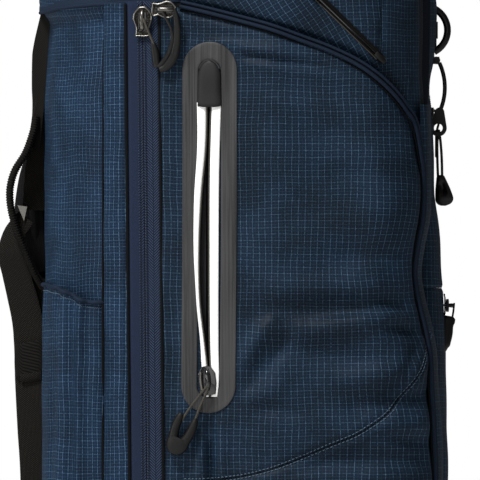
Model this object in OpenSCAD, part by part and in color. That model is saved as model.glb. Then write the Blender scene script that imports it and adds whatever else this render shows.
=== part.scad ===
// Golf carry bag: stiff tube, padded cover, two side pockets, two front pockets, shoulder strap.
// Millimetres. +Z is up, the origin is the centre of the base's underside, -Y is the side
// with the welded valuables pocket, -X is the strap side and +X is the front.

/* [Body] */
// Height of the cuff's rim above the ground
bag_h = 870; // [800:1:1000]
// Outer radius of the stiff tube
tube_r = 110; // [98:1:124]
// Wall of the stiff tube
tube_wall = 2.5; // [1.5:0.5:4]
// Thickness of the padded cover on the strap side
cover_t = 14.1; // [8:0.1:18]
// How far the cover narrows under the collar
cover_neck = 11; // [4:0.5:12]
// Height of the moulded base cup
base_h = 60; // [40:1:90]
// Thickness of the base cup's floor
base_floor = 5; // [3:0.5:8]
// Thickness of the base cup's wall
base_wall = 3.4; // [2:0.1:6]

/* [Cuff and dividers] */
// Height of the top cuff
cuff_h = 94; // [70:1:120]
// Thickness of the top cuff
cuff_t = 15.4; // [10:0.1:20]
// Height of the fabric collar on the cuff
collar_h = 62; // [40:1:70]
// Thickness of the fabric collar
collar_t = 3.3; // [2:0.1:5]
// Thickness of a divider bar
bar_t = 8; // [5:0.5:12]
// Height of the divider grid
grid_h = 20; // [12:1:30]
// Distance of the two cross bars from the middle
bar_x = 38; // [30:1:46]
// Thickness of a fabric club sleeve
sleeve_t = 1.2; // [0.8:0.1:2]
// Radius of a stay rod
stay_r = 3.5; // [2.5:0.5:4]

/* [Side pockets] */
// Depth of a side pocket outside the tube, at its back edge
side_depth = 17; // [12:1:24]
// Extra depth of a side pocket at its front
side_swell = 17; // [10:1:24]
// Front end of a side pocket, from the middle of the bag
side_front = 193; // [170:1:215]
// Back end of a side pocket, behind the middle of the bag
side_back = 75; // [66:1:82]
// Height of a side pocket's bottom
side_low = 70; // [66:1:120]
// Radius of the pocket's round upper corner
corner_r = 108; // [80:1:125]
// Thickness of a pocket's fabric and lining
skin_t = 3; // [2:0.5:4]
// Width of the piping band
piping_w = 9; // [6:0.5:14]

/* [Front pockets] */
// Half of a front pocket's width
front_half = 75; // [60:1:82]
// Front face of the lower front pocket, from the middle of the bag
front_low_x = 205; // [190:1:225]
// Front face of the upper front pocket, from the middle of the bag
front_high_x = 193.5; // [180:0.5:210]
// Height where the two front pockets meet
front_split = 547; // [480:1:600]
// Height of the upper front pocket's top
front_top = 800; // [760:1:830]

/* [Valuables pocket] */
// Height of the welded patch
patch_h = 305; // [270:1:330]
// Width of the welded patch
patch_w = 47; // [42:1:54]
// Thickness of the welded patch
patch_t = 1.4; // [0.8:0.1:2]
// Width of the patch's window for the zip
window_w = 19.4; // [17:0.1:24]
// Gap between the two open zip tapes
gap_w = 8; // [7:0.5:10]
// Depth of the lining pouch
pouch_d = 15; // [10:1:16]

/* [Zips] */
// Width of the big side zip's tape
zip_w = 27; // [22:1:30]
// Width of a small zip's tape
small_zip_w = 20; // [16:1:24]
// Thickness of a zip tape
tape_t = 1.2; // [0.8:0.1:1.6]
// Width of a zip's coil
coil_w = 6; // [4:0.5:7]
// Height of a zip's coil above its tape
coil_t = 1.1; // [0.6:0.1:1.4]

/* [Shoulder strap] */
// Width of the strap's lower webbing
web_w = 20; // [16:1:25]
// Thickness of the webbing
web_t = 2; // [1.2:0.1:2.5]
// Width of the shoulder pad
pad_w = 50; // [40:1:60]
// Thickness of the shoulder pad
pad_t = 12; // [8:1:14]

/* [Hidden] */
$fn = 64;
gap = 0.3;                 // clearance between pieces that only lie near each other
seat = 0.1;                // clearance under a tape or patch that lies on fabric
run = 0.05;                // radial clearance of a pin in its hole
cover_r = tube_r + 0.4 + cover_t;
cuff_z = bag_h - cuff_h;
cuff_r = tube_r + 0.4 + cuff_t;
collar_r = cuff_r + 0.4 + collar_t;
tube_top = cuff_z + 24;
grid_z = bag_h - 12 - grid_h;
base_r = cover_r + 1.5;
rivet_r = 2;
rivet_n = 6;

// Side pocket: three round corners in plan, with a flat panel between the first two.
ca_r = 25;
cb_r = 42;
cc_r = 56;
ca = [-side_back + ca_r, -(tube_r + side_depth) + ca_r];
cb = [70, -(tube_r + side_depth + side_swell) + cb_r - 6];
cc = [side_front - cc_r, -(tube_r + side_depth + side_swell) + cc_r - 4];
side_in = front_half + 0.6;   // the plane between the side and front pockets
side_top = cuff_z + 8;
corner = [side_front - corner_r, side_top - 144];
// The panel is the common tangent of the first two corners: its start, direction and angle.
ab = cb - ca;
ab_len = norm(ab);
ab_u = ab / ab_len;
ab_v = [ab_u[1], -ab_u[0]];
ab_c = -(cb_r - ca_r) / ab_len;
panel_n = ab_c * ab_u + sqrt(1 - ab_c * ab_c) * ab_v;
panel_o = ca + ca_r * panel_n;
panel_t = [-panel_n[1], panel_n[0]];
panel_a = atan2(panel_t[1], panel_t[0]);
function panel_s(x) = (x - panel_o[0]) / panel_t[0];

zip_s = panel_s(-43);
zip_low = side_low + 80;
zip_high = side_top - 10;
patch_s = panel_s(12.3);
patch_z = cuff_z - 178.5;     // middle of the patch
window_z = patch_z - patch_h / 2 + 13;   // bottom of the window
window_h = patch_h - 28;
garage_h = 38;
garage_z = window_z + window_h - garage_h;
gap_z = window_z + 3;
gap_h = garage_z - gap_z;     // the open gap runs up to the garage
top_zip_a = 16;               // slope of the zip's top run
flap_start = -21;             // where the piping flap begins to cover the zip
upper_a = atan2(8, 80);       // turn of the upper pocket's flat face
upper_o = [70, cb[1] - cb_r + 6];
upper_zip_a = 43.6;

ring_y = -30;
ring_z = cuff_z - 15;
ring_x = front_high_x + 4.3;
ring_arc = 20;
ring_in = 9;                  // from the ring's bar back to the middle of its arc
ring_bar_r = 2;
tether_x = front_high_x + 6.1;
tether_z = ring_z - 25;
eyelet_z = tether_z - 56;

coil_face = seat + tape_t + coil_t + gap;    // where a slider starts, out from the fabric
flap_face = 3.6;                              // the same over the piping flap
patch_face = seat + patch_t + gap;
plate_t = 3;
lug_x = 3.2;
pin_r = 1;
function pin_out(face) = face + plate_t + 3.5;
eye_wire = 0.8;
eye_r = pin_r + eye_wire + 0.1;

strap_y = 22;
keeper_z = 474;
keeper_h = 29;
// Routes of the strap's webbing and pad, from the top down.
upper_web_route = [[-120, 4, cuff_z - 1], [-125, 5, 748], [-128.5, 6, 722], [-129.5, 8, 696], [-134.5, 10, 661],
    [-144, 10, 645], [-151, 10, 630], [-152.5, 10, 614], [-149, 10, 597], [-142, 11, 582], [-134, 13, 562]];
lower_web_route = [[-149, strap_y, 584], [-142, strap_y, 562], [-138, strap_y, 545], [-137, strap_y, 530],
    [-137, strap_y, 420], [-137, strap_y, 300], [-136, strap_y, 237]];
pad_route = [[-126, 52, 658], [-126, 53, 610], [-122, 61, 550], [-114, 75, 480], [-107, 84, 400], [-102, 90, 320]];

navy = "#1f2f45";
black = "#1b1b1d";
gunmetal = "#8a8a86";
grey = "#525252";
white = "#f0f0ee";

// A prism of a plan outline, between two heights.
module upright(low, high) { translate([0, 0, low]) linear_extrude(high - low) children(); }

// A prism of a front elevation outline (x, z), between two depths.
module across(y0, y1) { translate([0, y1, 0]) rotate([90, 0, 0]) linear_extrude(y1 - y0) children(); }

// Places children on the side pocket's flat panel: x along it, -y out of it.
module on_panel(s, z) {
    translate([panel_o[0] + s * panel_t[0], panel_o[1] + s * panel_t[1], z]) rotate([0, 0, panel_a]) children();
}

module on_far(s, z) { mirror([0, 1, 0]) on_panel(s, z) children(); }

module on_upper(s, z) { translate([upper_o[0], upper_o[1], 0]) rotate([0, 0, upper_a]) translate([s, 0, z]) children(); }

module on_front(x, y, z) { translate([x, y, z]) rotate([0, 0, 90]) children(); }

// A flat bar or round cord swept along a route; each ring is the profile set across the route.
function unit(v) = v / norm(v);
function along(p, i) = unit(p[min(i + 1, len(p) - 1)] - p[max(i - 1, 0)]);
function ring_at(p, i, wide, profile) =
    let (t = along(p, i), n = unit(cross(t, wide)), w = cross(n, t))
    [for (q = profile) p[i] + q[0] * w + q[1] * n];
module sweep(p, profile, wides) {
    m = len(profile);
    n = len(p);
    polyhedron(
        points = [for (i = [0:n - 1]) each ring_at(p, i, wides[i], profile)],
        faces = concat(
            [[for (j = [0:m - 1]) j]],
            [for (i = [0:n - 2]) for (j = [0:m - 1])
                [i * m + j, (i + 1) * m + j, (i + 1) * m + (j + 1) % m]],
            [for (i = [0:n - 2]) for (j = [0:m - 1])
                [i * m + j, (i + 1) * m + (j + 1) % m, i * m + (j + 1) % m]],
            [[for (j = [m - 1:-1:0]) (n - 1) * m + j]]));
}
function same(p, w) = [for (q = p) w];
function around(p) = [for (q = p) unit([-q[1], q[0], 0])];
function bar(w, t) = [[-w / 2, -t / 2], [-w / 2, t / 2], [w / 2, t / 2], [w / 2, -t / 2]];

module zip_strip(length, w) {
    translate([-w / 2, -seat - tape_t, 0]) cube([w, tape_t, length]);
    translate([-coil_w / 2, -seat - tape_t - coil_t, 0]) cube([coil_w, tape_t + coil_t, length]);
}

// A zip slider on a strip, with two lugs and a pin for its pull; the crown turns to suit the zip.
module slider_body(length, w, turn, face) {
    translate([-w / 2, -face - plate_t, -length / 2]) cube([w, plate_t, length]);
    rotate([0, turn, 0]) slider_crown(face);
}

module slider_crown(face) {
    out = pin_out(face);
    for (side = [-1, 1])
        translate([side * (lug_x + 0.6) - 0.6, -out - 1.8, -2]) cube([1.2, out + 1.8 - face - plate_t + 0.5, 4]);
    translate([-lug_x - 0.6, -out, 0]) rotate([0, 90, 0]) cylinder(r = pin_r, h = 2 * lug_x + 1.2);
}

// The wire eye at the top of a pull, running on a slider's pin, with its shank below it.
module pull_eye(lean, shank) {
    rotate([0, 90, 0]) rotate_extrude() translate([eye_r, 0]) circle(r = eye_wire);
    rotate([0, lean, 0]) translate([0, 0, -eye_r - shank]) cylinder(r = eye_wire + 0.1, h = shank);
}

// A moulded pull end: round below, narrower above, with a slot through it.
module moulded_end(length, w, t) {
    difference() {
        rotate([90, 0, 0]) translate([0, 0, -t / 2]) linear_extrude(t)
            hull() {
                translate([0, -length + w / 2]) circle(r = w / 2);
                translate([-w * 0.3, -2]) square([w * 0.6, 2]);
            }
        translate([-1.2, -t, -length * 0.62]) cube([2.4, 2 * t, length * 0.3]);
    }
}

// Plan outline of a side pocket, smaller by inset, with its back on the tube.
module side_plan(inset) {
    difference() {
        intersection() {
            hull() {
                translate(ca) circle(r = ca_r - inset);
                translate(cb) circle(r = cb_r - inset);
                translate(cc) circle(r = cc_r - inset);
                translate([-side_back + inset, -82]) square([1, 10]);
                translate([side_front - inset - 1, -side_in - 1]) square([1, 1]);
            }
            translate([-side_back - 20, -400]) square([600, 400 - side_in - max(inset, 0)]);
        }
        circle(r = tube_r + 0.5);
    }
}

// Front elevation of a side pocket, smaller by inset.
module side_elevation(inset) {
    intersection() {
        hull() {
            translate(corner) circle(r = corner_r - inset);
            translate([-side_back - 5, side_top + 16 - inset]) circle(r = 0.5);
            translate([-side_back - 5, side_low + inset]) square([1, 1]);
            translate([side_front - inset - 1, side_low + inset]) square([1, 1]);
        }
        translate([-side_back - 10, 0]) square([400, side_top - inset]);
    }
}

module side_shell() {
    difference() {
        intersection() {
            upright(side_low - 5, side_top + 5) side_plan(0);
            across(-260, 0) side_elevation(0);
        }
        intersection() {
            upright(side_low - 5, side_top + 5) side_plan(skin_t);
            across(-260, 0) side_elevation(skin_t);
        }
        translate([0, 0, cuff_z - 0.6]) cylinder(r = collar_r + 0.5, h = 100);
    }
}

module piping() {
    intersection() {
        upright(side_low - 5, side_top + 5)
            difference() {
                side_plan(-flap_face + gap);
                side_plan(-seat * 2 - tape_t);
            }
        across(-260, 0)
            difference() {
                side_elevation(0);
                side_elevation(piping_w);
                translate([-200, 0]) square([200 + flap_start, 1000]);
                translate([-200, 0]) square([600, side_low + 20]);
            }
    }
}

module base_cup() {
    color(black) difference() {
        rotate_extrude() polygon([[0, 0], [base_r - 2, 0], [base_r, 2], [base_r, base_h],
            [base_r - base_wall, base_h], [base_r - base_wall, base_floor], [0, base_floor]]);
        rivet_shafts(rivet_r + run, 3);
    }
}

module rivet_shafts(r, past) {
    for (i = [0:rivet_n - 1]) rotate([0, 0, 30 + i * 360 / rivet_n])
        translate([tube_r - tube_wall - 1, 0, base_h * 0.6]) rotate([0, 90, 0])
            cylinder(r = r, h = base_r - tube_r + tube_wall + 1 + past);
}

module base_rivets() {
    color(gunmetal) {
        rivet_shafts(rivet_r, 0);
        for (i = [0:rivet_n - 1]) rotate([0, 0, 30 + i * 360 / rivet_n])
            translate([base_r + seat / 2, 0, base_h * 0.6]) rotate([0, 90, 0]) translate([0, 0, -seat / 2]) {
                translate([0, 0, seat]) cylinder(r = 5, h = 1.4);
                cylinder(r = rivet_r, h = 1);
            }
    }
}

module body_tube() {
    color("#3a3a3c") difference() {
        translate([0, 0, base_floor + gap]) cylinder(r = tube_r, h = tube_top - base_floor - gap);
        cylinder(r = tube_r - tube_wall, h = bag_h);
        rivet_shafts(rivet_r + run, 3);
    }
}

module side_stays() {
    color("#c8b070") for (a = [35, 145, 215, 325]) rotate([0, 0, a])
        translate([tube_r - tube_wall - stay_r - gap, 0, base_floor + gap])
            cylinder(r = stay_r, h = grid_z - base_floor - 2);
}

module body_cover() {
    in_r = tube_r + 0.4;
    color(navy) difference() {
        union() {
            translate([0, 0, base_floor + gap]) cylinder(r = base_r - base_wall - gap, h = base_h - base_floor);
            intersection() {
                rotate_extrude() polygon([[in_r - 2, base_h + gap], [cover_r - 1, base_h + gap], [cover_r, base_h + 20],
                    [cover_r, cuff_z - 90], [cover_r - cover_neck * 0.35, cuff_z - 40],
                    [cover_r - cover_neck, cuff_z - 2], [in_r - 2, cuff_z - 2]]);
                translate([-300, -300, 0]) cube([300 - side_back - 0.4, 600, bag_h]);
            }
        }
        cylinder(r = in_r, h = bag_h);
        rivet_shafts(rivet_r + run, 3);
    }
}

module top_cuff() {
    skirt_r = tube_r + 0.4;
    throat_r = tube_r - tube_wall;
    grip_y = 38;
    grip_z = bag_h - 25;
    color(black) {
        rotate_extrude() polygon([[skirt_r, cuff_z], [cuff_r, cuff_z], [cuff_r, bag_h - 7], [cuff_r - 4, bag_h],
            [throat_r + 4, bag_h], [throat_r, bag_h - 6], [throat_r, tube_top + 0.4], [skirt_r, tube_top + 0.4]]);
        translate([cuff_r, 0, grip_z]) rotate([0, 0, -90]) rotate_extrude(angle = 180)
            translate([grip_y, 0]) circle(r = 8);
        for (side = [-1, 1])
            translate([cuff_r - 14, side * grip_y, grip_z]) rotate([0, 90, 0]) cylinder(r = 8, h = 14);
    }
}

module collar_band() {
    color(navy) difference() {
        translate([0, 0, cuff_z]) cylinder(r = collar_r, h = collar_h);
        translate([0, 0, cuff_z - 1]) cylinder(r = cuff_r + 0.4, h = collar_h + 2);
        for (side = [-1, 1])
            translate([cuff_r - 14, side * 38, bag_h - 25]) rotate([0, 90, 0]) cylinder(r = 8 + gap, h = 30);
    }
}

module cross_bars(t, low, high) {
    translate([-tube_r, -t / 2, low]) cube([2 * tube_r, t, high - low]);
    for (side = [-1, 1])
        translate([side * bar_x - t / 2, -tube_r, low]) cube([t, 2 * tube_r, high - low]);
}

module divider_grid() {
    throat_r = tube_r - tube_wall;
    color(black) union() {
        intersection() {
            cross_bars(bar_t, grid_z, grid_z + grid_h);
            cylinder(r = throat_r - gap - 1, h = bag_h);
        }
        difference() {
            translate([0, 0, grid_z]) cylinder(r = throat_r - gap, h = grid_h);
            translate([0, 0, grid_z - 1]) cylinder(r = throat_r - gap - 3, h = grid_h + 2);
        }
    }
}

module divider_sleeves() {
    color("#9a9ca0") intersection() {
        cross_bars(sleeve_t, base_floor + 1, grid_z - gap);
        cylinder(r = tube_r - tube_wall - gap, h = bag_h);
    }
}

module side_pocket() {
    color(navy) difference() {
        side_shell();
        on_panel(patch_s, gap_z) translate([-gap_w / 2, -5, 0]) cube([gap_w, 10 + skin_t, gap_h]);
    }
}

module side_piping() { color("#22304a") piping(); }

module side_zip() {
    color("#2a3048") {
        on_panel(zip_s, zip_low) zip_strip(zip_high - zip_low, zip_w);
        on_panel(zip_s + zip_w / 2 - 4, side_top - 7) rotate([0, 90 + top_zip_a, 0])
            translate([-5, -seat - tape_t, 0]) cube([10, tape_t, 74]);
    }
}

module capsule(w, h) {
    hull() {
        translate([0, w / 2]) circle(r = w / 2);
        translate([0, h - w / 2]) circle(r = w / 2);
    }
}

module valuables_patch() {
    color(grey) on_panel(patch_s, patch_z - patch_h / 2) translate([0, -seat, 0]) rotate([90, 0, 0])
        linear_extrude(patch_t) difference() {
            capsule(patch_w, patch_h);
            translate([0, window_z - patch_z + patch_h / 2]) capsule(window_w, window_h);
        }
}

module zip_garage() {
    t = 3;
    color("#2b2b2b") on_panel(patch_s, garage_z) translate([0, -seat - patch_t - seat, 0]) rotate([90, 0, 0])
        linear_extrude(t) hull() {
            translate([0, garage_h - 8]) circle(r = window_w / 2);
            translate([-window_w / 2 - 1, 0]) square([window_w + 2, 1]);
        }
}

module valuables_tape(side) {
    w = (window_w - gap_w) / 2 - gap;
    on_panel(patch_s, window_z + 9) translate([side * (gap_w + w) / 2 - w / 2, -seat - patch_t + 0.3, 0])
        cube([w, patch_t - 0.3, window_h - 18]);
}

module valuables_tape_left() { color(white) valuables_tape(-1); }

module valuables_tape_right() { color(white) valuables_tape(1); }

// The lining bag behind the gap, open to it at the front.
module valuables_pouch() {
    w = 66;
    low = gap_z - 30;
    high = gap_z + gap_h + 10;
    color("#6f7478") on_panel(patch_s - 22, 0) difference() {
        translate([0, skin_t + gap, low]) cube([w, pouch_d, high - low]);
        translate([1, skin_t + gap + 1, low + 1]) cube([w - 2, pouch_d - 2, high - low - 2]);
        translate([22 - gap_w / 2, 0, gap_z]) cube([gap_w, skin_t + 4, gap_h]);
    }
}

module bottle_plan(inset) {
    bulge = [-92, -64];
    difference() {
        intersection() {
            hull() {
                translate(bulge) circle(r = cover_r - 91.5 - inset);
                translate([-84, -92]) circle(r = 8 - inset);
                translate([-cover_r + 5.5, -18]) circle(r = 8 - inset);
            }
            translate([-300, -300]) square([300 - side_back - 0.4 - max(inset, 0), 600]);
        }
        circle(r = cover_r + gap);
    }
}

bottle_low = 300;
bottle_top = 536;
module bottle_pocket() {
    color(navy) difference() {
        upright(bottle_low, bottle_top - gap) bottle_plan(0);
        upright(bottle_low + 2, bottle_top + 5) bottle_plan(1.8);
    }
}

module bottle_hem() {
    color(navy) difference() {
        upright(bottle_top, bottle_top + 10) bottle_plan(-0.8);
        upright(bottle_top - 1, bottle_top + 11) bottle_plan(1.8);
    }
}

module upper_plan(inset) {
    back = cb[1] - cb_r;
    difference() {
        offset(delta = -inset) polygon([[-25, back + 20], [70, upper_o[1]], [150, upper_o[1] + 8], [187, back + 44],
            [187, -side_in], [-25, -side_in]]);
        circle(r = collar_r + 0.7);
    }
}

module upper_elevation(inset) {
    offset(delta = -inset) difference() {
        translate([-25, 600]) square([212, bag_h - 35 - 600]);
        side_elevation(-1.2);
        translate([-60, 0]) square([400, corner[1] + 20]);
    }
}

module upper_pocket() {
    color(navy) difference() {
        intersection() {
            upright(600, bag_h) upper_plan(0);
            across(-260, 0) upper_elevation(0);
        }
        intersection() {
            upright(600, bag_h) upper_plan(2);
            across(-260, 0) upper_elevation(2);
        }
    }
}

upper_zip_s = 18;
upper_zip_z = cuff_z + 23;
module on_upper_zip() { on_upper(upper_zip_s, upper_zip_z) rotate([0, 180 - upper_zip_a - 2.4, 0]) children(); }

module upper_zip() { color(black) on_upper_zip() zip_strip(86, 10); }

module front_plan(face, inset, hole) {
    f = face - inset;
    h = front_half - inset;
    difference() {
        polygon([[40, -h], [f - 27, -h], [f, -h + 27], [f, h - 27], [f - 27, h], [40, h]]);
        circle(r = hole);
    }
}

module front_pocket(face, low, high, hole) {
    difference() {
        upright(low, high) front_plan(face, 0, hole);
        upright(low + skin_t, high - skin_t) front_plan(face, skin_t, hole - 1);
    }
}

module front_pocket_upper() { color(navy) front_pocket(front_high_x, front_split + 1, front_top, collar_r + 0.6); }

module front_pocket_lower() { color(navy) front_pocket(front_low_x, side_low, front_split, tube_r + 0.5); }

module front_zip_upper() {
    color(navy) on_front(front_high_x, 34, front_split + 12) zip_strip(150, small_zip_w);
}

front_zip_z = front_split - 14;
module front_zip_lower() {
    color(navy) on_front(front_low_x, -46, front_zip_z) rotate([0, 90, 0]) zip_strip(92, small_zip_w);
}

module far_pocket() { color(navy) mirror([0, 1, 0]) side_shell(); }

module far_piping() { color("#22304a") mirror([0, 1, 0]) piping(); }

module far_zip() { color("#2a3048") on_far(zip_s, zip_low) zip_strip(zip_high - zip_low, zip_w); }

module ring_plate() {
    color(black) {
        translate([front_high_x + seat, ring_y - 5, ring_z - 30]) cube([0.9, 10, 44]);
        difference() {
            translate([front_high_x + seat, ring_y - 3.5, ring_z - 7]) cube([ring_x + 3 - front_high_x - seat, 7, 14]);
            translate([ring_x, ring_y, ring_z - 8]) cylinder(r = ring_bar_r + run, h = 16);
        }
        for (side = [-1, 1]) translate([front_high_x + seat, ring_y + side * 4.1 - 0.9, tether_z - 3])
            cube([tether_x - front_high_x + 2.4, 1.8, 6]);
        translate([tether_x, ring_y - 4.1, tether_z]) rotate([-90, 0, 0]) cylinder(r = 1.5, h = 8.2);
    }
}

module towel_ring() {
    half = acos(ring_in / ring_arc);
    end_z = ring_arc * sin(half);
    color(black) translate([0, ring_y, ring_z]) {
        translate([ring_x - ring_in, 0, 0]) rotate([90, 0, 0]) rotate([0, 0, -half])
            rotate_extrude(angle = 2 * half) translate([ring_arc, 0]) circle(r = 2.9);
        translate([ring_x, 0, -end_z]) cylinder(r = ring_bar_r, h = 2 * end_z);
    }
}

module tether_arm() {
    hole_r = 3.6;
    arm_arc = 48.7;
    color(black) translate([tether_x, ring_y, tether_z]) {
        difference() {
            rotate([-90, 0, 0]) translate([0, 0, -2.8]) cylinder(r = 3.2, h = 5.6);
            rotate([-90, 0, 0]) translate([0, 0, -4]) cylinder(r = 1.5 + run, h = 8);
        }
        translate([7 - arm_arc, 0, -22.5]) rotate([90, 0, 0]) rotate([0, 0, -25]) rotate_extrude(angle = 50)
            translate([arm_arc, 0]) circle(r = 1.7);
        difference() {
            translate([1.6, 2, 0]) rotate([90, 0, 0]) linear_extrude(4) hull() {
                translate([0, eyelet_z - tether_z]) circle(r = 7);
                translate([1, eyelet_z - tether_z + 13]) circle(r = 4);
            }
            translate([1.6, 3, eyelet_z - tether_z]) rotate([90, 0, 0]) cylinder(r = hole_r, h = 6);
        }
    }
}

tether_eye = [tether_x + 1.6, ring_y, eyelet_z - 5.3];
module tether_cord() {
    color("#3a3833") translate(tether_eye) {
        rotate([0, 90, 0]) rotate_extrude() translate([3.9, 0]) circle(r = 0.9);
        for (side = [-1, 1]) translate([0, side * 1.6, -34]) cylinder(r = 0.7, h = 30.6);
    }
}

module tether_end() {
    color(black) translate(tether_eye + [2, 0, -34.2]) moulded_end(24, 15, 7);
}

module strap_upper_web() {
    color(black) sweep(upper_web_route, bar(16, web_t), same(upper_web_route, [0.55, 0.84, 0]));
}

module strap_pad() { color(black) sweep(pad_route, bar(pad_w, pad_t), around(pad_route)); }

module strap_triangle() {
    color(gunmetal) translate([-144, 4, 610]) rotate([90, 0, 0]) linear_extrude(2)
        polygon([[-4, 6], [4, 5], [1.5, -7]]);
}

module strap_lower_web() { color(black) sweep(lower_web_route, bar(web_w, web_t), same(lower_web_route, [1, 0, 0])); }

module strap_web_end() {
    color(black) translate([-137 - 8, strap_y - web_t / 2 - seat - 3, keeper_z - 9]) cube([16, 3, 8]);
}

module strap_anchor() {
    color(black) translate([-137 - 11, strap_y - 5, 222]) cube([148 - cover_r + 0.9 - 0.6, 10, 14]);
}

module strap_keeper() {
    color(black) translate([-137, strap_y, keeper_z]) difference() {
        translate([-web_w / 2 - 2, -4, 0]) cube([web_w + 4, 8, keeper_h]);
        translate([-web_w / 2 - gap, -web_t / 2 - gap, -1]) cube([web_w + 2 * gap, web_t + 2 * gap, keeper_h + 2]);
    }
}

slider_z = side_top - 16;
module side_slider_low() { color(gunmetal) on_panel(zip_s, slider_z) slider_body(22, 12, 0, coil_face); }

module side_pull_low() {
    color(black) on_panel(zip_s, slider_z) translate([0, -pin_out(coil_face), 0]) {
        pull_eye(-14, 16);
        rotate([0, -14, 0]) translate([-3, -1.2, -44]) cube([6, 2.4, 26.2]);
    }
}

top_s = panel_s(-24);
module side_slider_top() {
    foot = seat + tape_t + gap;
    color(gunmetal) on_panel(top_s, side_top - 7) rotate([0, 90 + top_zip_a, 0]) {
        slider_body(18, 11, -90, flap_face);
        translate([3, -flap_face - 1, -7]) cube([2, flap_face + 1 - foot, 14]);
    }
}

module side_pull_top() {
    color(black) on_panel(top_s, side_top - 7) translate([0, -pin_out(flap_face), 0]) rotate([0, top_zip_a, 0]) {
        pull_eye(-16, 14);
        rotate([0, -16, 0]) translate([-3, -1.2, -50]) cube([6, 2.4, 34]);
    }
}

valuables_z = gap_z + 11;
module valuables_slider() {
    color(black) on_panel(patch_s, valuables_z) {
        slider_body(24, 13, 0, patch_face);
        translate([-2.5, -patch_face - 1, -5]) cube([5, patch_face + 1 + skin_t, 11]);
    }
}

pull_lean = 34;
cord_h = 32;
module on_valuables_pull() { on_panel(patch_s, valuables_z) translate([0, -pin_out(patch_face), 0]) children(); }

module valuables_cord() { color("#4a4742") on_valuables_pull() pull_eye(pull_lean, cord_h); }

module valuables_pull_end() {
    color(black) on_valuables_pull() rotate([0, pull_lean, 0]) translate([0, 0, -eye_r - cord_h - seat]) moulded_end(30, 16, 7);
}

module upper_slider() { color(black) on_upper_zip() translate([0, 0, 9]) slider_body(14, 9, 0, coil_face); }

module upper_pull() {
    color(black) on_upper_zip() translate([0, -pin_out(coil_face), 9]) {
        pull_eye(0, 5);
        translate([-2.5, -1, -26.5]) cube([5, 2, 20]);
    }
}

front_high_slider_z = front_split + 142;
module front_slider_upper() {
    color(gunmetal) on_front(front_high_x, 34, front_high_slider_z) slider_body(16, 10, 0, coil_face);
}

module front_pull_upper() {
    color(black) on_front(front_high_x, 34, front_high_slider_z) translate([0, -pin_out(coil_face), 0]) {
        pull_eye(0, 8);
        translate([-3, -1.2, -34]) cube([6, 2.4, 24.2]);
    }
}

front_low_slider_y = -34;
module front_slider_lower() {
    color(gunmetal) on_front(front_low_x, front_low_slider_y, front_zip_z) rotate([0, 90, 0])
        slider_body(16, 10, -90, coil_face);
}

module on_front_pull() {
    on_front(front_low_x, front_low_slider_y, front_zip_z) translate([0, -pin_out(coil_face), 0]) children();
}

module front_cord_lower() { color("#3a3833") on_front_pull() pull_eye(0, 9); }

module front_end_lower() { color(black) on_front_pull() translate([0, 0, -eye_r - 9.1]) moulded_end(26, 13, 7); }

module far_slider() { color(gunmetal) on_far(zip_s, slider_z) slider_body(22, 12, 0, coil_face); }

module far_pull() {
    color(black) on_far(zip_s, slider_z) translate([0, -pin_out(coil_face), 0]) {
        pull_eye(0, 18);
        translate([-3, -1.2, -46]) cube([6, 2.4, 26.2]);
    }
}

base_cup();
base_rivets();
body_tube();
side_stays();
body_cover();
top_cuff();
collar_band();
divider_grid();
divider_sleeves();
side_pocket();
side_piping();
side_zip();
valuables_patch();
zip_garage();
valuables_tape_left();
valuables_tape_right();
valuables_pouch();
bottle_pocket();
bottle_hem();
upper_pocket();
upper_zip();
front_pocket_upper();
front_zip_upper();
front_pocket_lower();
front_zip_lower();
far_pocket();
far_piping();
far_zip();
ring_plate();
strap_upper_web();
strap_pad();
strap_triangle();
strap_lower_web();
strap_web_end();
strap_anchor();
side_slider_low();
side_pull_low();
side_slider_top();
side_pull_top();
valuables_slider();
valuables_cord();
valuables_pull_end();
upper_slider();
upper_pull();
front_slider_upper();
front_pull_upper();
front_slider_lower();
front_cord_lower();
front_end_lower();
far_slider();
far_pull();
towel_ring();
tether_arm();
tether_cord();
tether_end();
strap_keeper();
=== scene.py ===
"""Golf carry bag: cloth, zips, welded pocket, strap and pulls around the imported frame.

Lengths are in millimetres until add_mesh() turns them into metres.
"""
import bpy
import math
import numpy as np
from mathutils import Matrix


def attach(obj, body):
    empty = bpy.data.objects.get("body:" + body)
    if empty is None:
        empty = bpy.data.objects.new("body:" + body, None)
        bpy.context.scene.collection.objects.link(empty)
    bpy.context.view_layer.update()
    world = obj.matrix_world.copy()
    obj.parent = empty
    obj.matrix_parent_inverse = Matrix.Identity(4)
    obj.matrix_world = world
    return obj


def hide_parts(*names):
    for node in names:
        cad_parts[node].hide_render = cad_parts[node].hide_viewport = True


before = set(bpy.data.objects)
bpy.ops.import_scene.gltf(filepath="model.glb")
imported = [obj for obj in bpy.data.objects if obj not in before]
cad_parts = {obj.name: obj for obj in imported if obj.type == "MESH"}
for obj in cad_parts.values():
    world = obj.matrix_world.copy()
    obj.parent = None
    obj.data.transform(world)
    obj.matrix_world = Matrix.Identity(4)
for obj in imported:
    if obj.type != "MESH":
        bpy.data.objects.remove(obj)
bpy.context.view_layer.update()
STEP = 2.6  # a cloth's mesh, in millimetres


# ---------------------------------------------------------------- materials

def colour(code):
    """An sRGB hex code as a linear RGBA tuple."""
    parts = [int(code[i:i + 2], 16) / 255 for i in (1, 3, 5)]
    return (*[c / 12.92 if c <= 0.04045 else ((c + 0.055) / 1.055) ** 2.4 for c in parts], 1.0)


EASED = {"interpolation_type": "SMOOTHSTEP"}
TINTS = {"data_type": "RGBA"}
UNEVEN = {"Scale": 1.0, "Detail": 3.0, "Roughness": 0.5}
PLAINER = {"Scale": 1.0, "Detail": 2.0, "Roughness": 0.5}


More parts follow.
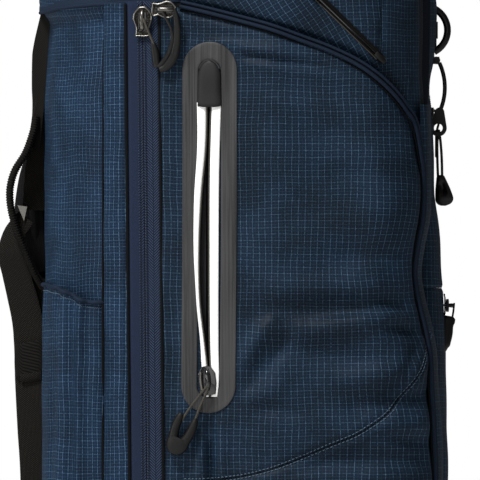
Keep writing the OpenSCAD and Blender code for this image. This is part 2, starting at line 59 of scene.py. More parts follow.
class Nodes:
    """The nodes of a material or of the world."""

    def __init__(self, owner):
        owner.use_nodes = True
        self.owner = owner
        self.tree = owner.node_tree
        self.tree.nodes.clear()

    def add(self, kind, inputs, **settings):
        """Adds a node and returns its outputs; inputs are values or links, by place or name."""
        node = self.tree.nodes.new("ShaderNode" + kind)
        for key, value in settings.items():
            setattr(node, key, value)
        for key, value in inputs.items():
            if isinstance(value, bpy.types.NodeSocket):
                self.tree.links.new(value, node.inputs[key])
            else:
                node.inputs[key].default_value = value
        return node.outputs

    def done(self, shader):
        """Closes the material with its shader's inputs, and returns it."""
        self.add("OutputMaterial", {0: self.add("BsdfPrincipled", shader)[0]})
        return self.owner


def on_sheet(t, across, along):
    """Place on a sheet's own flat cloth, counted in repeats a metre."""
    flat = t.add("UVMap", {}, uv_map="UV")[0]
    return t.add("Mapping", {"Vector": flat, "Scale": (across, along, 1.0)})[0]


def in_solid(t, x, y, z):
    """Place in a solid piece, counted in repeats a metre."""
    place = t.add("TexCoord", {})["Object"]
    return t.add("Mapping", {"Vector": place, "Scale": (x, y, z)})[0]


def zigzag(t, axis):
    """Half at each whole number along axis, falling to 0 midway."""
    share = t.add("Math", {0: axis}, operation="FRACT")[0]
    share = t.add("Math", {0: share, 1: 0.5}, operation="SUBTRACT")[0]
    return t.add("Math", {0: share}, operation="ABSOLUTE")[0]


def yarn(t, axis, width):
    """1 on a yarn once a repeat along axis, 0 between; width is a share of the repeat."""
    edge = {0: zigzag(t, axis), 1: 0.5 - width, 2: 0.5 - width * 0.35}
    return t.add("MapRange", edge, **EASED)[0]


def ripstop(name, dark, light, line, bright, upright=1.0, level=0.75):
    """Polyester ripstop, woven and coated: a 5.3 mm grid of pale, broken yarns.

    A faint second grid lies between. The plain weave is drawn at 0.5 mm, as coarse as it needs
    to show, and the cloth's 13 mm crinkle and slow drift keep the grid from looking ruled.
    """
    t = Nodes(bpy.data.materials.new(name))
    drift = t.add("TexNoise", {"Vector": on_sheet(t, 13, 13), **PLAINER})["Color"]
    drift = t.add("VectorMath", {0: drift, "Scale": 1.5}, operation="SCALE")[0]
    woven = t.add("VectorMath", {0: on_sheet(t, 188, 188), 1: drift}, operation="ADD")[0]
    cell = t.add("SeparateXYZ", {0: woven})
    worn = t.add("TexNoise", {"Vector": on_sheet(t, 22, 22), **UNEVEN})[0]

    yarns, halves = [], []
    for place, width, pale, sheet, faint in ((0, 0.062, upright, (300, 620), 0.09),
                                             (1, 0.058, level, (620, 300), 0.16)):
        slub = t.add("TexNoise", {"Vector": on_sheet(t, *sheet), **PLAINER})[0]
        slub = t.add("MapRange", {0: slub, 1: 0.36, 2: 0.6, 3: 0.22 * pale, 4: pale}, **EASED)[0]
        whole = yarn(t, cell[place], width)
        yarns.append(t.add("Math", {0: whole, 1: slub}, operation="MULTIPLY")[0])
        between = t.add("Math", {0: cell[place], 1: 0.5}, operation="ADD")[0]
        half = yarn(t, between, 0.05)
        halves.append(t.add("Math", {0: half, 1: faint}, operation="MULTIPLY")[0])
    either = t.add("Math", {0: yarns[0], 1: yarns[1]}, operation="MAXIMUM")[0]
    kept = t.add("MapRange", {0: worn, 1: 0.3, 2: 0.68, 3: 0.55, 4: 1.0}, **EASED)[0]
    lines = t.add("Math", {0: either, 1: kept}, operation="MULTIPLY")[0]
    fine = t.add("Math", {0: halves[0], 1: halves[1]}, operation="MAXIMUM")[0]
    cross = t.add("Math", {0: yarns[0], 1: yarns[1]}, operation="MULTIPLY")[0]

    weave = t.add("TexChecker", {"Vector": on_sheet(t, 1900, 1900), "Scale": 1.0})["Fac"]
    speck = t.add("TexNoise", {"Vector": on_sheet(t, 1100, 1100), **PLAINER})[0]
    speck = t.add("MapRange", {0: speck, 1: 0.35, 2: 0.65, 3: 0.1, 4: 0.5}, **EASED)[0]
    shade = t.add("Math", {0: weave, 1: speck}, operation="MULTIPLY")[0]
    fade = t.add("MapRange", {0: worn, 1: 0.3, 2: 0.7}, **EASED)[0]
    ground = t.add("Mix", {0: fade, 6: colour(dark), 7: colour(light)}, **TINTS)[2]
    ground = t.add("Mix", {0: shade, 6: ground, 7: colour("#060a10")}, **TINTS)[2]
    shown = t.add("Math", {0: lines, 1: fine}, operation="MAXIMUM")[0]
    shown = t.add("Math", {0: shown, 1: 0.8}, operation="MULTIPLY")[0]
    face = t.add("Mix", {0: shown, 6: ground, 7: colour(line)}, **TINTS)[2]
    cross = t.add("Math", {0: cross, 1: 0.5}, operation="MULTIPLY")[0]
    face = t.add("Mix", {0: cross, 6: face, 7: colour(bright)}, **TINTS)[2]

    low = t.add("Math", {0: weave, 1: 0.35}, operation="MULTIPLY")[0]
    height = t.add("Math", {0: lines, 1: low}, operation="ADD")[0]
    crinkle = t.add("TexNoise", {"Vector": on_sheet(t, 75, 75), **UNEVEN})[0]
    crinkle = t.add("Bump", {"Height": crinkle, "Distance": 0.0008, "Strength": 0.6})[0]
    normal = t.add("Bump", {"Height": height, "Distance": 0.00015, "Strength": 0.9,
                            "Normal": crinkle})[0]
    rough = t.add("MapRange", {0: worn, 1: 0.3, 2: 0.7, 3: 0.5, 4: 0.62}, **EASED)[0]
    return t.done({"Base Color": face, "Roughness": rough, "Normal": normal, "Sheen Weight": 0.01,
                   "Sheen Roughness": 0.5, "Sheen Tint": colour("#6f8fc0"),
                   "Specular IOR Level": 0.09})


def twill(name, dark, light, pitch, slant=1.0, rough=0.72, depth=0.00012):
    """Twill-woven tape, binding or thread: diagonal ribs at a pitch in millimetres, a dry face."""
    t = Nodes(bpy.data.materials.new(name))
    cell = t.add("SeparateXYZ", {0: on_sheet(t, 1000 / pitch, 1000 / pitch)})
    slope = t.add("Math", {0: cell[0], 1: slant}, operation="MULTIPLY")[0]
    slope = t.add("Math", {0: slope, 1: cell[1]}, operation="ADD")[0]
    rib = t.add("MapRange", {0: zigzag(t, slope), 1: 0.05, 2: 0.42}, **EASED)[0]
    fuzz = t.add("TexNoise", {"Vector": on_sheet(t, 900, 900), **PLAINER})[0]
    pale = t.add("MapRange", {0: fuzz, 1: 0.3, 2: 0.7, 3: 0.55, 4: 1.0}, **EASED)[0]
    pale = t.add("Math", {0: rib, 1: pale}, operation="MULTIPLY")[0]
    base = t.add("Mix", {0: pale, 6: colour(dark), 7: colour(light)}, **TINTS)[2]
    fuzz = t.add("Math", {0: fuzz, 1: 0.3}, operation="MULTIPLY")[0]
    height = t.add("Math", {0: rib, 1: fuzz}, operation="ADD")[0]
    normal = t.add("Bump", {"Height": height, "Distance": depth, "Strength": 0.9})[0]
    return t.done({"Base Color": base, "Roughness": rough, "Normal": normal,
                   "Specular IOR Level": 0.12})


def webbing(name, dark, light, pitch=1.7):
    """Polypropylene webbing: ribs across its width, split by a warp every 1.1 mm."""
    t = Nodes(bpy.data.materials.new(name))
    cell = t.add("SeparateXYZ", {0: on_sheet(t, 1000 / 1.1, 1000 / pitch)})
    odd = t.add("Math", {0: cell[0]}, operation="FLOOR")[0]
    odd = t.add("Math", {0: odd, 1: 0.5}, operation="MULTIPLY")[0]
    row = t.add("Math", {0: cell[1], 1: odd}, operation="ADD")[0]
    rib = t.add("MapRange", {0: zigzag(t, row), 1: 0.48, 2: 0.12}, **EASED)[0]
    warp = t.add("MapRange", {0: zigzag(t, cell[0]), 1: 0.5, 2: 0.15}, **EASED)[0]
    weave = t.add("Math", {0: rib, 1: warp}, operation="MULTIPLY")[0]
    fuzz = t.add("TexNoise", {"Vector": on_sheet(t, 700, 700), **UNEVEN})[0]
    pale = t.add("MapRange", {0: fuzz, 1: 0.3, 2: 0.7, 3: 0.6, 4: 1.0}, **EASED)[0]
    pale = t.add("Math", {0: weave, 1: pale}, operation="MULTIPLY")[0]
    base = t.add("Mix", {0: pale, 6: colour(dark), 7: colour(light)}, **TINTS)[2]
    fuzz = t.add("Math", {0: fuzz, 1: 0.25}, operation="MULTIPLY")[0]
    height = t.add("Math", {0: weave, 1: fuzz}, operation="ADD")[0]
    normal = t.add("Bump", {"Height": height, "Distance": 0.0007, "Strength": 1.0})[0]
    return t.done({"Base Color": base, "Roughness": 0.78, "Normal": normal,
                   "Specular IOR Level": 0.12})


def welded_film():
    """Grey TPU film, calendered and welded on: matt, with fine streaks along its length."""
    t = Nodes(bpy.data.materials.new("welded_tpu_film"))
    streak = {"Vector": on_sheet(t, 620, 9), "Scale": 1.0, "Detail": 4.0, "Roughness": 0.6}
    streak = t.add("TexNoise", streak)[0]
    broad = t.add("TexNoise", {"Vector": on_sheet(t, 60, 8), **PLAINER})[0]
    pale = t.add("MapRange", {0: streak, 1: 0.38, 2: 0.62}, **EASED)[0]
    base = t.add("Mix", {0: pale, 6: colour("#1f1f20"), 7: colour("#363637")}, **TINTS)[2]
    haze = t.add("MapRange", {0: broad, 1: 0.35, 2: 0.7, 3: 0.0, 4: 0.5}, **EASED)[0]
    base = t.add("Mix", {0: haze, 6: base, 7: colour("#474748")}, **TINTS)[2]
    rough = t.add("MapRange", {0: streak, 1: 0.3, 2: 0.7, 3: 0.5, 4: 0.62}, **EASED)[0]
    normal = t.add("Bump", {"Height": streak, "Distance": 0.00008, "Strength": 0.6})[0]
    return t.done({"Base Color": base, "Roughness": rough, "Normal": normal,
                   "Specular IOR Level": 0.25})


def moulded(name, dark, light, rough, grain=900.0, depth=0.00006, **shine):
    """Moulded plastic or rubber: a spark-eroded grain, counted a metre, and handling marks."""
    t = Nodes(bpy.data.materials.new(name))
    pits = t.add("TexNoise", {"Vector": in_solid(t, grain, grain, grain), **UNEVEN})[0]
    worn = t.add("TexNoise", {"Vector": in_solid(t, 40, 40, 40), **UNEVEN})[0]
    pale = t.add("MapRange", {0: worn, 1: 0.35, 2: 0.7}, **EASED)[0]
    base = t.add("Mix", {0: pale, 6: colour(dark), 7: colour(light)}, **TINTS)[2]
    uneven = {0: worn, 1: 0.3, 2: 0.7, 3: rough - 0.06, 4: rough + 0.06}
    uneven = t.add("MapRange", uneven, **EASED)[0]
    normal = t.add("Bump", {"Height": pits, "Distance": depth, "Strength": 0.7})[0]
    shine = {key.replace("_", " "): value for key, value in shine.items()}
    return t.done({"Base Color": base, "Roughness": uneven, "Normal": normal, **shine})


def plated(name, dark, light, rough):
    """Die-cast zinc with a dark plating: a painted highlight along its edges, with tumbling marks."""
    t = Nodes(bpy.data.materials.new(name))
    scratch = t.add("TexNoise", {"Vector": in_solid(t, 1500, 400, 1500), **UNEVEN})[0]
    # painted highlight: edges found by pointiness are coloured brighter
    edge = t.add("NewGeometry", {})["Pointiness"]
    edge = t.add("MapRange", {0: edge, 1: 0.5, 2: 0.56}, **EASED)[0]
    mark = t.add("MapRange", {0: scratch, 1: 0.4, 2: 0.75, 3: 0.0, 4: 0.4}, **EASED)[0]
    pale = t.add("Math", {0: edge, 1: mark}, operation="MAXIMUM")[0]
    base = t.add("Mix", {0: pale, 6: colour(dark), 7: colour(light)}, **TINTS)[2]
    uneven = t.add("MapRange", {0: scratch, 1: 0.3, 2: 0.7, 3: rough, 4: rough + 0.12}, **EASED)[0]
    normal = t.add("Bump", {"Height": scratch, "Distance": 0.00003, "Strength": 0.5})[0]
    return t.done({"Base Color": base, "Roughness": uneven, "Normal": normal, "Metallic": 1.0})


def laminate():
    """White polyurethane laminated over a zip's tape: smooth and bright, with faint pores."""
    t = Nodes(bpy.data.materials.new("white_pu_laminate"))
    pore = t.add("TexNoise", {"Vector": on_sheet(t, 900, 900), **UNEVEN})[0]
    pale = t.add("MapRange", {0: pore, 1: 0.35, 2: 0.65}, **EASED)[0]
    base = t.add("Mix", {0: pale, 6: colour("#e9e9e7"), 7: colour("#f7f7f5")}, **TINTS)[2]
    normal = t.add("Bump", {"Height": pore, "Distance": 0.00004, "Strength": 0.5})[0]
    return t.done({"Base Color": base, "Roughness": 0.5, "Normal": normal,
                   "Specular IOR Level": 0.4})


def braid(name, dark, light):
    """Thin braided cord: crossed ribs 1.2 mm apart along it."""
    t = Nodes(bpy.data.materials.new(name))
    cell = t.add("SeparateXYZ", {0: on_sheet(t, 700, 833)})
    ribs = []
    for way in ("ADD", "SUBTRACT"):
        rib = t.add("Math", {0: cell[0], 1: cell[1]}, operation=way)[0]
        rib = t.add("Math", {0: rib}, operation="FRACT")[0]
        ribs.append(t.add("MapRange", {0: rib, 1: 0.1, 2: 0.9}, **EASED)[0])
    rib = t.add("Math", {0: ribs[0], 1: ribs[1]}, operation="MULTIPLY")[0]
    base = t.add("Mix", {0: rib, 6: colour(dark), 7: colour(light)}, **TINTS)[2]
    normal = t.add("Bump", {"Height": rib, "Distance": 0.00012, "Strength": 0.9})[0]
    return t.done({"Base Color": base, "Roughness": 0.7, "Normal": normal,
                   "Specular IOR Level": 0.35})


def spacer_mesh():
    """Knitted spacer mesh over foam: round openings 1.7 mm apart in a dull black face."""
    t = Nodes(bpy.data.materials.new("spacer_mesh"))
    cell = {"Vector": on_sheet(t, 600, 600), "Scale": 1.0, "Randomness": 0.15}
    away = t.add("TexVoronoi", cell, feature="F1")["Distance"]
    hole = t.add("MapRange", {0: away, 1: 0.16, 2: 0.34}, **EASED)[0]
    base = t.add("Mix", {0: hole, 6: colour("#050506"), 7: colour("#121214")}, **TINTS)[2]
    normal = t.add("Bump", {"Height": hole, "Distance": 0.0004, "Strength": 0.9})[0]
    return t.done({"Base Color": base, "Roughness": 0.85, "Normal": normal, "Sheen Weight": 0.03,
                   "Specular IOR Level": 0.15})


def lining():
    """Plain-woven nylon lining in deep shade, its 0.3 mm weave drawn at 0.7 mm."""
    t = Nodes(bpy.data.materials.new("plain_lining"))
    place = in_solid(t, 1500, 1500, 1500)
    weave = t.add("TexChecker", {"Vector": place, "Scale": 1.0})["Fac"]
    base = t.add("Mix", {0: weave, 6: colour("#101114"), 7: colour("#191a1e")}, **TINTS)[2]
    normal = t.add("Bump", {"Height": weave, "Distance": 0.0001, "Strength": 0.5})[0]
    return t.done({"Base Color": base, "Roughness": 0.85, "Normal": normal})


def painted_floor():
    """A matt white studio floor."""
    t = Nodes(bpy.data.materials.new("matt_white_floor"))
    cloud = t.add("TexNoise", {"Vector": in_solid(t, 3, 3, 3), **UNEVEN})[0]
    base = t.add("Mix", {0: cloud, 6: colour("#f1f1f1"), 7: colour("#f7f7f7")}, **TINTS)[2]
    return t.done({"Base Color": base, "Roughness": 0.8})


NAVY = ripstop("navy_ripstop", "#0a1724", "#132335", "#4a667c", "#7b97ab")
# copy of the ripstop for the cover side: its bluer ground and paler grid are painted sheen of the cloth at
# grazing angles
NAVY_PAINTED_SHEEN = ripstop("navy_ripstop_cover_painted_sheen", "#0a1a2d", "#13273e", "#5a7b96", "#86a2b8", 1.0, 0.62)
TRIM = twill("navy_binding", "#0b1420", "#1d2c40", 0.8)
# painted shadow: near-black tubes laid in seams, grooves and zip folds where shade falls
PAINTED_SHADOW = twill("navy_painted_seam_shadow", "#020304", "#05070b", 0.8)
# painted shade: dark navy for cloth seen only in the shadow beside the gusset and in the valley
TRIM_SHADE = twill("navy_gusset_in_shade", "#060a12", "#0e1724", 0.8)
TAPE_PLAIN = twill("zip_tape_plain", "#141d2f", "#1f2b42", 0.7, 0.6)
TAPE_TWILL_A = twill("zip_tape_herringbone_rising", "#070b14", "#33415a", 2.3, 1.0, 0.7, 0.0003)
TAPE_TWILL_B = twill("zip_tape_herringbone_falling", "#070b14", "#33415a", 2.3, -1.0, 0.7, 0.0003)
TAPE_BLACK = twill("black_zip_tape", "#020202", "#0c0c0d", 0.9)
THREAD = twill("sewing_thread", "#2e3c4e", "#6d8294", 0.5)
THREAD_ZIP = twill("zip_sewing_thread", "#18202f", "#3d4a61", 0.5)
LINING_GREY = twill("sleeve_cloth", "#34363a", "#46494e", 0.8)
WEB = webbing("black_webbing", "#000000", "#35322c")
WEB_FINE = twill("black_twill_webbing", "#010101", "#1b1916", 2.6, 1.3, 0.75, 0.0004)
FILM = welded_film()
GARAGE = moulded("charcoal_rubber", "#0f0f10", "#18181a", 0.6, 1500, Specular_IOR_Level=0.3)
PULL = moulded("soft_pull_rubber", "#020202", "#080706", 0.46, 1600, 0.00005,
               Specular_IOR_Level=0.26)
PLASTIC = moulded("black_nylon", "#020202", "#080807", 0.4, 1400, Specular_IOR_Level=0.3)
GLOSS = moulded("gloss_black_lacquer", "#050506", "#0c0c0d", 0.16, 600, 0.00002,
                Coat_Weight=0.5, Coat_Roughness=0.05)
BASE = moulded("base_cup_plastic", "#121213", "#1c1c1e", 0.55, 700, 0.0001)
TUBE = moulded("tube_sheet", "#222224", "#2c2c2e", 0.6)
ROD = moulded("glass_fibre_rod", "#a08c50", "#c8b878", 0.45)
STEEL = plated("gunmetal_plate", "#161513", "#706e69", 0.26)
WHITE = laminate()
CORD = braid("grey_braided_cord", "#1d1b17", "#625d52")
CORD_DARK = braid("dark_braided_cord", "#0b0a08", "#2f2b23")
PAD = spacer_mesh()
LINING = lining()


# ---------------------------------------------------------------- mesh tools

def add_mesh(name, points, faces, uv, materials, face_material=None, smooth=True, sharp=40):
    """A mesh object from millimetre points; uv is per point, or per loop, in millimetres."""
    data = bpy.data.meshes.new(name)
    points = np.asarray(points, float).reshape(-1, 3)
    data.from_pydata((points * 0.001).tolist(), [], [list(map(int, f)) for f in faces])
    uv = np.asarray(uv, float).reshape(-1, 2) * 0.001
    index = np.zeros(len(data.loops), np.int32)
    data.loops.foreach_get("vertex_index", index)
    layer = data.uv_layers.new(name="UV")
    layer.data.foreach_set("uv", (uv[index] if len(uv) == len(points) else uv).astype(np.float32).ravel())
    for material in materials:
        data.materials.append(material)
    if face_material is not None:
        data.polygons.foreach_set("material_index", np.asarray(face_material, np.int32))
    data.polygons.foreach_set("use_smooth", np.full(len(data.polygons), smooth))
    data.update()
    if smooth and sharp:
        data.set_sharp_from_angle(angle=math.radians(sharp))
    item = bpy.data.objects.new(name, data)
    bpy.context.scene.collection.objects.link(item)
    return item


def grid_faces(rows, cols, closed=False, keep=None):
    """Quads of a rows x cols grid of points; closed joins the last column to the first."""
    faces = []
    for r in range(rows - 1):
        for c in range(cols if closed else cols - 1):
            if keep is None or keep[r, c]:
                d = (c + 1) % cols
                faces.append((r * cols + c, r * cols + d, (r + 1) * cols + d, (r + 1) * cols + c))
    return faces


def surface(name, points, uv, material, closed=False, keep=None, flip=False, caps=False):
    """A mesh object from a grid of points."""
    rows, cols = points.shape[:2]
    faces = grid_faces(rows, cols, closed, keep)
    if caps:
        faces += [tuple(range(cols))[::-1], tuple(range((rows - 1) * cols, rows * cols))]
    if flip:
        faces = [f[::-1] for f in faces]
    return add_mesh(name, points, faces, uv, [material])


def smoothstep(low, high, x):
    """0 at low to 1 at high, eased at both."""
    t = np.clip((np.asarray(x, float) - low) / (high - low), 0, 1)
    return t * t * (3 - 2 * t)


def curve(knots, at):
    """A smooth value through (place, value) knots, by monotone cubic steps."""
    x, y = np.array(knots, float).T
    slope = np.diff(y) / np.diff(x)
    m = np.zeros_like(y)
    m[1:-1] = np.where(slope[:-1] * slope[1:] > 0, (slope[:-1] + slope[1:]) / 2, 0)
    m[0], m[-1] = slope[0], slope[-1]
    at = np.clip(np.asarray(at, float), x[0], x[-1])
    i = np.clip(np.searchsorted(x, at) - 1, 0, len(x) - 2)
    h = x[i + 1] - x[i]
    t = (at - x[i]) / h
    return ((2 * t**3 - 3 * t**2 + 1) * y[i] + (t**3 - 2 * t**2 + t) * h * m[i]
            + (-2 * t**3 + 3 * t**2) * y[i + 1] + (t**3 - t**2) * h * m[i + 1])


def spline(knots, count):
    """Points evenly spaced along a smooth line through the knots."""
    p = np.asarray(knots, float)
    p = np.vstack([2 * p[0] - p[1], p, 2 * p[-1] - p[-2]])
    fine = []
    for i in range(1, len(p) - 2):
        t = np.linspace(0, 1, 24, endpoint=False)[:, None]
        a, b, c, d = p[i - 1:i + 3]
        fine.append(0.5 * (2 * b + (c - a) * t + (2 * a - 5 * b + 4 * c - d) * t**2
                           + (3 * b - a - 3 * c + d) * t**3))
    fine = np.vstack([*fine, p[-2:-1]])
    run = np.concatenate([[0], np.cumsum(np.linalg.norm(np.diff(fine, axis=0), axis=1))])
    at = np.linspace(0, run[-1], count)
    return np.column_stack([np.interp(at, run, fine[:, k]) for k in range(fine.shape[1])]), at


def unit(v):
    """Vectors at length 1."""
    return v / np.maximum(np.linalg.norm(v, axis=-1, keepdims=True), 1e-9)


def frames(path, side):
    """Tangent, side and normal along a path; side is a rough direction, one or one a point."""
    t = unit(np.gradient(path, axis=0))
    side = np.broadcast_to(np.asarray(side, float), path.shape)
    n = unit(np.cross(t, side))
    return t, np.cross(n, t), n


def tube(name, knots, radius, material, count=60, around=12, side=(0.2, 1, 0.1), flat=1.0):
    """A round or flattened cord; radius is one number or knots of (share, radius)."""
    path, at = spline(knots, count)
    r = np.full(len(path), float(radius)) if np.isscalar(radius) else curve(radius, at / at[-1])
    t, w, n = frames(path, side)
    a = np.linspace(0, 2 * math.pi, around, endpoint=False)
    p = path[:, None] + r[:, None, None] * (np.cos(a)[None, :, None] * w[:, None]
                                            + flat * np.sin(a)[None, :, None] * n[:, None])
    uv = np.stack(np.broadcast_arrays(a[None, :] * r.mean(), at[:, None]), -1)
    return surface(name, p, uv, material, closed=True, caps=True)


def ribbon(name, knots, sides, widths, thick, material, count=90):
    """Flat webbing along knots: sides are its width's direction at each knot, widths its width."""
    path, at = spline(knots, count)
    share = np.linspace(0, 1, len(knots))
    q = at / at[-1]
    if not np.isscalar(sides[0]):
        sides = np.column_stack([np.interp(q, share, np.array(sides, float)[:, k]) for k in range(3)])
    t, w, n = frames(path, sides)
    wide = np.full(count, float(widths)) if np.isscalar(widths) else np.interp(q, share, widths)
    cross = [(-0.5, -0.3), (-0.46, -0.5), (-0.25, -0.5), (0, -0.5), (0.25, -0.5), (0.46, -0.5), (0.5, -0.3),
             (0.5, 0.3), (0.46, 0.5), (0.25, 0.5), (0, 0.5), (-0.25, 0.5), (-0.46, 0.5), (-0.5, 0.3)]
    cross = np.array(cross)
    p = (path[:, None] + (cross[None, :, 0] * wide[:, None])[..., None] * w[:, None]
         + (cross[None, :, 1] * thick)[..., None] * n[:, None])
    uv = np.stack(np.broadcast_arrays(cross[None, :, 0] * wide[:, None], at[:, None]), -1)
    return surface(name, p, uv, material, closed=True, caps=True)


def inset(outline, amount):
    """An outline moved inwards by amount at every corner."""
    a = unit(outline - np.roll(outline, 1, 0))
    b = unit(np.roll(outline, -1, 0) - outline)
    normal = unit(np.column_stack([-(a + b)[:, 1], (a + b)[:, 0]]))
    area = np.sum(outline[:, 0] * np.roll(outline[:, 1], -1) - np.roll(outline[:, 0], -1) * outline[:, 1])
    return outline + normal * amount * (1 if area > 0 else -1)


def rounded(corners, radius, steps=6):
    """An outline with each corner rounded."""
    c = np.asarray(corners, float)
    out = []
    for i, p in enumerate(c):
        a, b = unit(c[i - 1] - p), unit(c[(i + 1) % len(c)] - p)
        r = radius[i] if hasattr(radius, "__len__") else radius
        angle = math.acos(np.clip(a @ b, -1, 1))
        reach = min(r / math.tan(angle / 2), 0.48 * np.linalg.norm(c[i - 1] - p),
                    0.48 * np.linalg.norm(c[(i + 1) % len(c)] - p))
        for t in np.linspace(0, 1, steps):
            out.append((1 - t) ** 2 * (p + a * reach) + 2 * t * (1 - t) * p + t * t * (p + b * reach))
    return np.array(out)


class Pile:
    """Several solids gathered in one mesh: local x and z across, y inwards, in millimetres."""

    def __init__(self):
        self.points, self.faces, self.uv, self.material = [], [], [], []

    def grid(self, points, uv, material=0):
        """A closed skin round rows of points, with its two ends capped."""
        rows, cols = points.shape[:2]
        start = sum(len(p) for p in self.points)
        faces = grid_faces(rows, cols, True)
        faces += [tuple(range(cols))[::-1], tuple(range((rows - 1) * cols, rows * cols))]
        self.points.append(points.reshape(-1, 3))
        self.uv.append(np.broadcast_to(uv, (rows, cols, 2)).reshape(-1, 2))
        self.faces += [tuple(start + i for i in f) for f in faces]
        self.material += [material] * len(faces)
        return self

    def plate(self, outline, near, far, bevel=0.4, material=0):
        """A plate of an (x, z) outline between two depths out from the cloth."""
        outline = np.asarray(outline, float)
        layers = [(near, bevel), (near + bevel * 0.3, bevel * 0.3), (near + bevel, 0), (far - bevel, 0),
                  (far - bevel * 0.3, bevel * 0.3), (far, bevel)]
        rings = []
        for out, cut in layers:
            edge = inset(outline, cut)
            rings.append(np.column_stack([edge[:, 0], np.full(len(edge), -out), edge[:, 1]]))
        rings = np.array(rings)
        return self.grid(rings, rings[..., [0, 2]], material=material)

    def cord(self, knots, radius, count=24, around=8, side=(0.1, 1, 0.2), material=0, flat=1.0):
        """A round or flattened cord along knots; radius as in tube()."""
        path, at = spline(knots, count)
        r = np.full(count, float(radius)) if np.isscalar(radius) else curve(radius, at / at[-1])
        t, w, n = frames(path, side)
        a = np.linspace(0, 2 * math.pi, around, endpoint=False)
        p = path[:, None] + r[:, None, None] * (np.cos(a)[None, :, None] * w[:, None]
                                                + flat * np.sin(a)[None, :, None] * n[:, None])
        uv = np.stack(np.broadcast_arrays(a[None, :] * r[:, None], at[:, None]), -1)
        return self.grid(p, uv, material=material)

    def build(self, name, materials, place=None, sharp=35):
        """The gathered solids as one object, moved by place."""
        p = np.vstack(self.points)
        p = p if place is None else place(p)
        uv = np.vstack(self.uv)
        return add_mesh(name, p, self.faces, uv, materials, self.material, sharp=sharp)


def settle(item, body, slot, *nodes):
    """Puts a piece on its body and hides the CAD nodes it stands for; slot is not used."""
    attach(item, body)
    if nodes:
        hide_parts(*nodes)
    return item


def solidify(item, thick):
    """Gives a sheet its thickness, inwards, as real geometry."""
    modifier = item.modifiers.new("thickness", "SOLIDIFY")
    modifier.thickness, modifier.offset = thick * 0.001, -1.0
    with bpy.context.temp_override(object=item, active_object=item, selected_objects=[item]):
        bpy.ops.object.modifier_apply(modifier=modifier.name)
    return item


# ---------------------------------------------------------------- sizes shared with the frame

COVER_R, COLLAR_R, COLLAR_TOP = 124.5, 129.5, 838.0
SIDE_TOP, SIDE_LOW = 784.0, 70.0
# Centre and radius of each corner of the side pocket in plan, from the strap side forwards.
CORNERS = [((-50.0, -102.0), 25.0), ((70.0, -108.0), 42.0), ((137.0, -92.0), 56.0)]


def side_plan():
    """The side pocket's outline in plan: run, x, y and outward normal."""
    normals = []
    for (a, ra), (b, rb) in zip(CORNERS, CORNERS[1:]):
        a, b = np.array(a), np.array(b)
        u = unit(b - a)
        v = np.array([u[1], -u[0]])
        c = -(rb - ra) / np.linalg.norm(b - a)
        n = c * u + math.sqrt(1 - c * c) * v
        normals.append(math.atan2(n[1], n[0]) % (2 * math.pi))
    starts = [math.pi, *normals]
    ends = [*normals, 2 * math.pi]
    p, n = [(-75.0, -80.0)], [(-1.0, 0.0)]
    for (centre, r), a0, a1 in zip(CORNERS, starts, ends):
        for a in np.linspace(a0, a1, 40):
            n.append((math.cos(a), math.sin(a)))
            p.append((centre[0] + r * n[-1][0], centre[1] + r * n[-1][1]))
    p.append((193.0, -76.0))
    n.append((1.0, 0.0))
    p, n = np.array(p), np.array(n)
    run = np.concatenate([[0], np.cumsum(np.linalg.norm(np.diff(p, axis=0), axis=1))])
    keep = np.concatenate([[True], np.diff(run) > 1e-6])
    return run[keep], p[keep], n[keep]


RUN, PLAN, PLAN_N = side_plan()
PANEL_N = np.array([-0.19075, -0.98164])
PANEL_T = np.array([0.98164, -0.19075])


def run_of(x):
    """Run along the front of the side pocket's plan at a given x."""
    front = (RUN > 22) & (RUN < RUN[-1] - 16)
    return np.interp(x, PLAN[front, 0], RUN[front])


# The piping's height along the upper corner, and how far the front edge stands out lower down.
PIPE_TOP = [(-50, 786), (-33, 782), (0, 775), (37, 765.5), (62, 758.5), (87, 749.5), (112, 740),
            (137, 727), (157, 711), (172, 693), (181, 676), (186.5, 640)]
PIPE_OUT = [(60, -12), (90, 0), (140, 8), (200, 10), (300, 11.5), (390, 11), (424, 10), (462, 8), (497, 6),
            (515, 2.5), (540, -3.5), (560, -6.2), (582, -3.6), (605, 0.5), (640, 1.5), (690, 1.0), (784, 0)]
PIPE_RUN = float(run_of(186.5))
PIPE_LOW, PIPE_BEND = 104.0, 30.0  # where the piping's upright ends, and the bend below it


def plan_at(u, z, out=0.0):
    """A point on the side pocket's outer surface, out millimetres off it."""
    u, z, out = np.broadcast_arrays(np.asarray(u, float), np.asarray(z, float), np.asarray(out, float))
    x, y = np.interp(u, RUN, PLAN[:, 0]), np.interp(u, RUN, PLAN[:, 1])
    nx, ny = np.interp(u, RUN, PLAN_N[:, 0]), np.interp(u, RUN, PLAN_N[:, 1])
    size = np.hypot(nx, ny)
    shift = smoothstep(95, 188, x) * curve(PIPE_OUT, z)
    return np.stack([x + shift + nx / size * out, y + ny / size * out, z], -1)


def ridge(u, z, a, b, width, height):
    """A soft fold of the cloth along the line a-b, tapering at its ends."""
    a, b = np.array(a, float), np.array(b, float)
    d = b - a
    t = np.clip(((u - a[0]) * d[0] + (z - a[1]) * d[1]) / (d @ d), 0, 1)
    away = np.hypot(u - a[0] - t * d[0], z - a[1] - t * d[1])
    taper = 0.25 + 0.75 * np.sin(math.pi * np.clip(t, 0.04, 0.96)) ** 0.7
    return height * np.exp(-(away / width) ** 2) * taper


def waves(u, z, seed, count, size, height):
    """Low, smooth unevenness from a few random waves; size is a wavelength in millimetres."""
    r = np.random.default_rng(seed)
    total = np.zeros(np.broadcast(u, z).shape)
    for _ in range(count):
        angle, phase, wave = r.uniform(0, math.pi), r.uniform(0, 6.28), size * r.uniform(0.7, 1.5)
        total = total + np.sin((u * math.cos(angle) + z * math.sin(angle)) * 2 * math.pi / wave + phase)
    return total * height / math.sqrt(count)


PIPE_LINE_X = np.concatenate([np.linspace(-50, 170, 60), np.linspace(171, 186.5, 22)])
TURN = np.linspace(0, math.pi / 2, 10)
